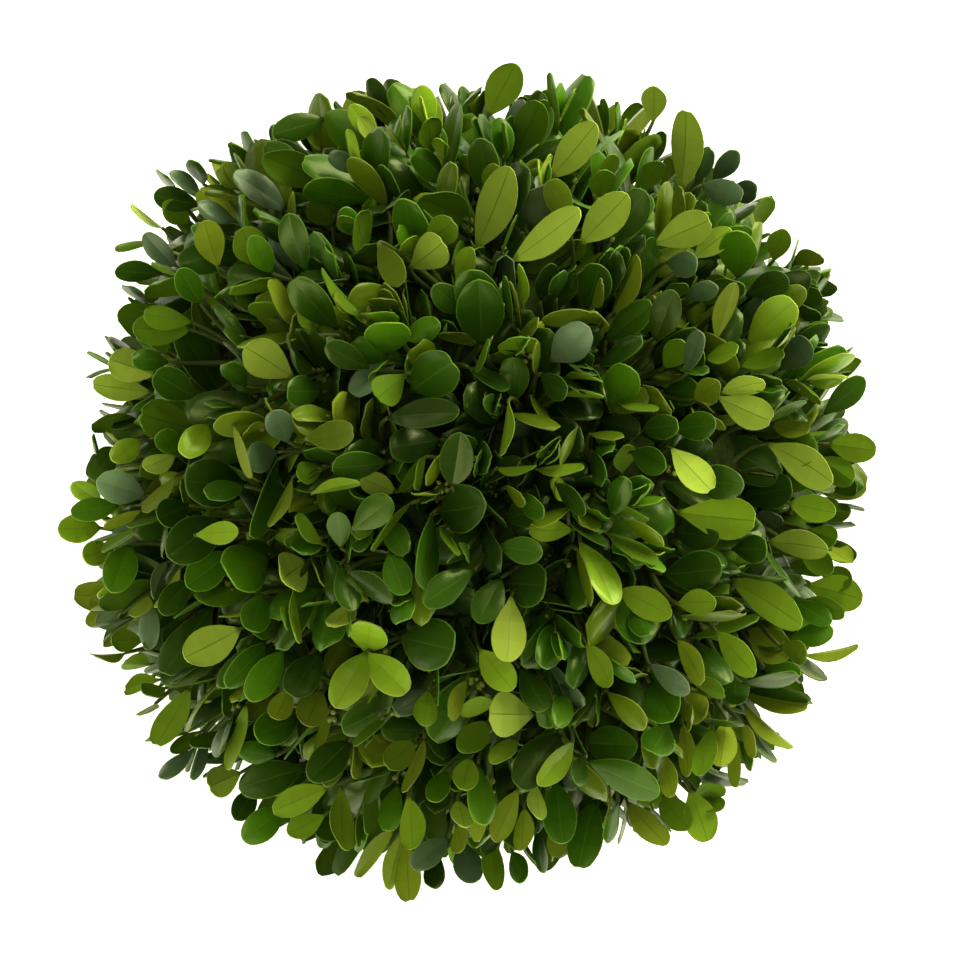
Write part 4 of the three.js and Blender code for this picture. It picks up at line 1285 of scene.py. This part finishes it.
young_bark = plain_material("young_bark", linear("#404d18"), roughness=0.6, specular=0.3)
add_grain(young_bark, scale=600, depth=0.15, gloss_spread=0.08)
bud_scale = plain_material("bud_scale", linear("#7c8a38"), roughness=0.55, specular=0.3)
add_grain(bud_scale, scale=1500, depth=0.1, gloss_spread=0.06)
for mass in MASS_DIRECTIONS:
    label = mass.removeprefix("foliage_")
    tubes = [tapered(twig["path"], *TWIG_RADII) for twig in twigs if twig["mass"] == mass]
    finish_piece(tube_piece(f"twigs_{label}", tubes, TWIG_SIDES, young_bark), SLOT_BARK)
    tubes = [bud_tube(bud) for bud in buds if bud["mass"] == mass]
    finish_piece(tube_piece(f"buds_{label}", tubes, TWIG_SIDES, bud_scale), SLOT_FOLIAGE)

old_bark = plain_material("old_bark", linear("#6b5a41"), roughness=0.85, specular=0.2)
add_grain(old_bark, scale=420, depth=0.5, gloss_spread=0.1)
add_mottle(old_bark, scale=160, spread_of_light=0.3)
tubes = [bough_tube(bough) for bough in BOUGH_LIST]
finish_piece(tube_piece("boughs", tubes, BOUGH_SIDES, old_bark), SLOT_BARK)
finish_piece(stem_piece(old_bark), SLOT_BARK, "main_stem")

shade = plain_material("shade", linear("#323f1b"), roughness=0.9, specular=0.05)
add_grain(shade, scale=300, depth=1.2, gloss_spread=0.05)
add_mottle(shade, scale=220, spread_of_light=0.5)
finish_piece(heart_piece(shade), SLOT_FOLIAGE)

make_camera()

# The floor, in metres: a white ground that shines a little, so that it throws light up between the leaves.
FLOOR_SIZE = 12
FLOOR_DROP = 0.0003
FLOOR_GLOW = {"colour": (1, 1, 0.88, 1), "strength": 0.9}

bpy.ops.mesh.primitive_plane_add(size=FLOOR_SIZE, location=(0, 0, -FLOOR_DROP))
floor = bpy.context.object
floor.name = "floor"
floor_material = plain_material("floor", linear("#f4f4f4"), roughness=0.9, specular=0.1)
floor_shader = floor_material.node_tree.nodes["Principled BSDF"]
floor_shader.inputs["Emission Color"].default_value = FLOOR_GLOW["colour"]
floor_shader.inputs["Emission Strength"].default_value = FLOOR_GLOW["strength"]
floor.data.materials.append(floor_material)

# The surround and the lights. Where the surround starts and stops changing is a share of the way up.
LIGHT_COLOUR = (1.0, 0.98, 0.66)
LOW_COLOUR = (1.0, 0.98, 0.42)
SURROUND = (
    {"at": 0.25, "light": 0.25, "colour": LOW_COLOUR},
    {"at": 0.85, "light": 0.21, "colour": LIGHT_COLOUR},
)


def make_world():
    """A pale surround, brighter low down than overhead, so that the leaves round the sides catch it."""
    world = bpy.data.worlds.new("world")
    world.use_nodes = True
    nodes, links = world.node_tree.nodes, world.node_tree.links
    place = nodes.new("ShaderNodeTexCoord")
    parts = nodes.new("ShaderNodeSeparateXYZ")
    links.new(place.outputs["Generated"], parts.inputs["Vector"])
    ramp = nodes.new("ShaderNodeValToRGB")
    for element, band in zip(ramp.color_ramp.elements, SURROUND):
        element.position = band["at"]
        element.color = (*[band["light"] * part for part in band["colour"]], 1)
    links.new(parts.outputs["Z"], ramp.inputs["Fac"])
    links.new(ramp.outputs["Color"], nodes["Background"].inputs["Color"])
    bpy.context.scene.world = world


make_world()
bpy.context.scene.view_settings.view_transform = "Standard"


def area_light(name, place, size, power):
    """A square light that looks at the ball's centre. Its place and size are in metres."""
    data = bpy.data.lights.new(name, "AREA")
    data.color = LIGHT_COLOUR
    data.shape = "SQUARE"
    data.size = size
    data.energy = power
    light = bpy.data.objects.new(name, data)
    light.location = place
    aim = CENTRE * MM - np.array(place)
    tilt = math.acos(-aim[2] / np.linalg.norm(aim))
    light.rotation_euler = (tilt, 0, math.atan2(aim[1], aim[0]) - math.pi / 2)
    bpy.context.scene.collection.objects.link(light)


area_light("key", place=(1.0, 0.95, 0.8), size=1.0, power=30)
area_light("fill", place=(-0.6, -1.2, 0.7), size=1.0, power=8.5)
area_light("top", place=(-0.3, -0.3, 1.7), size=1.2, power=7)
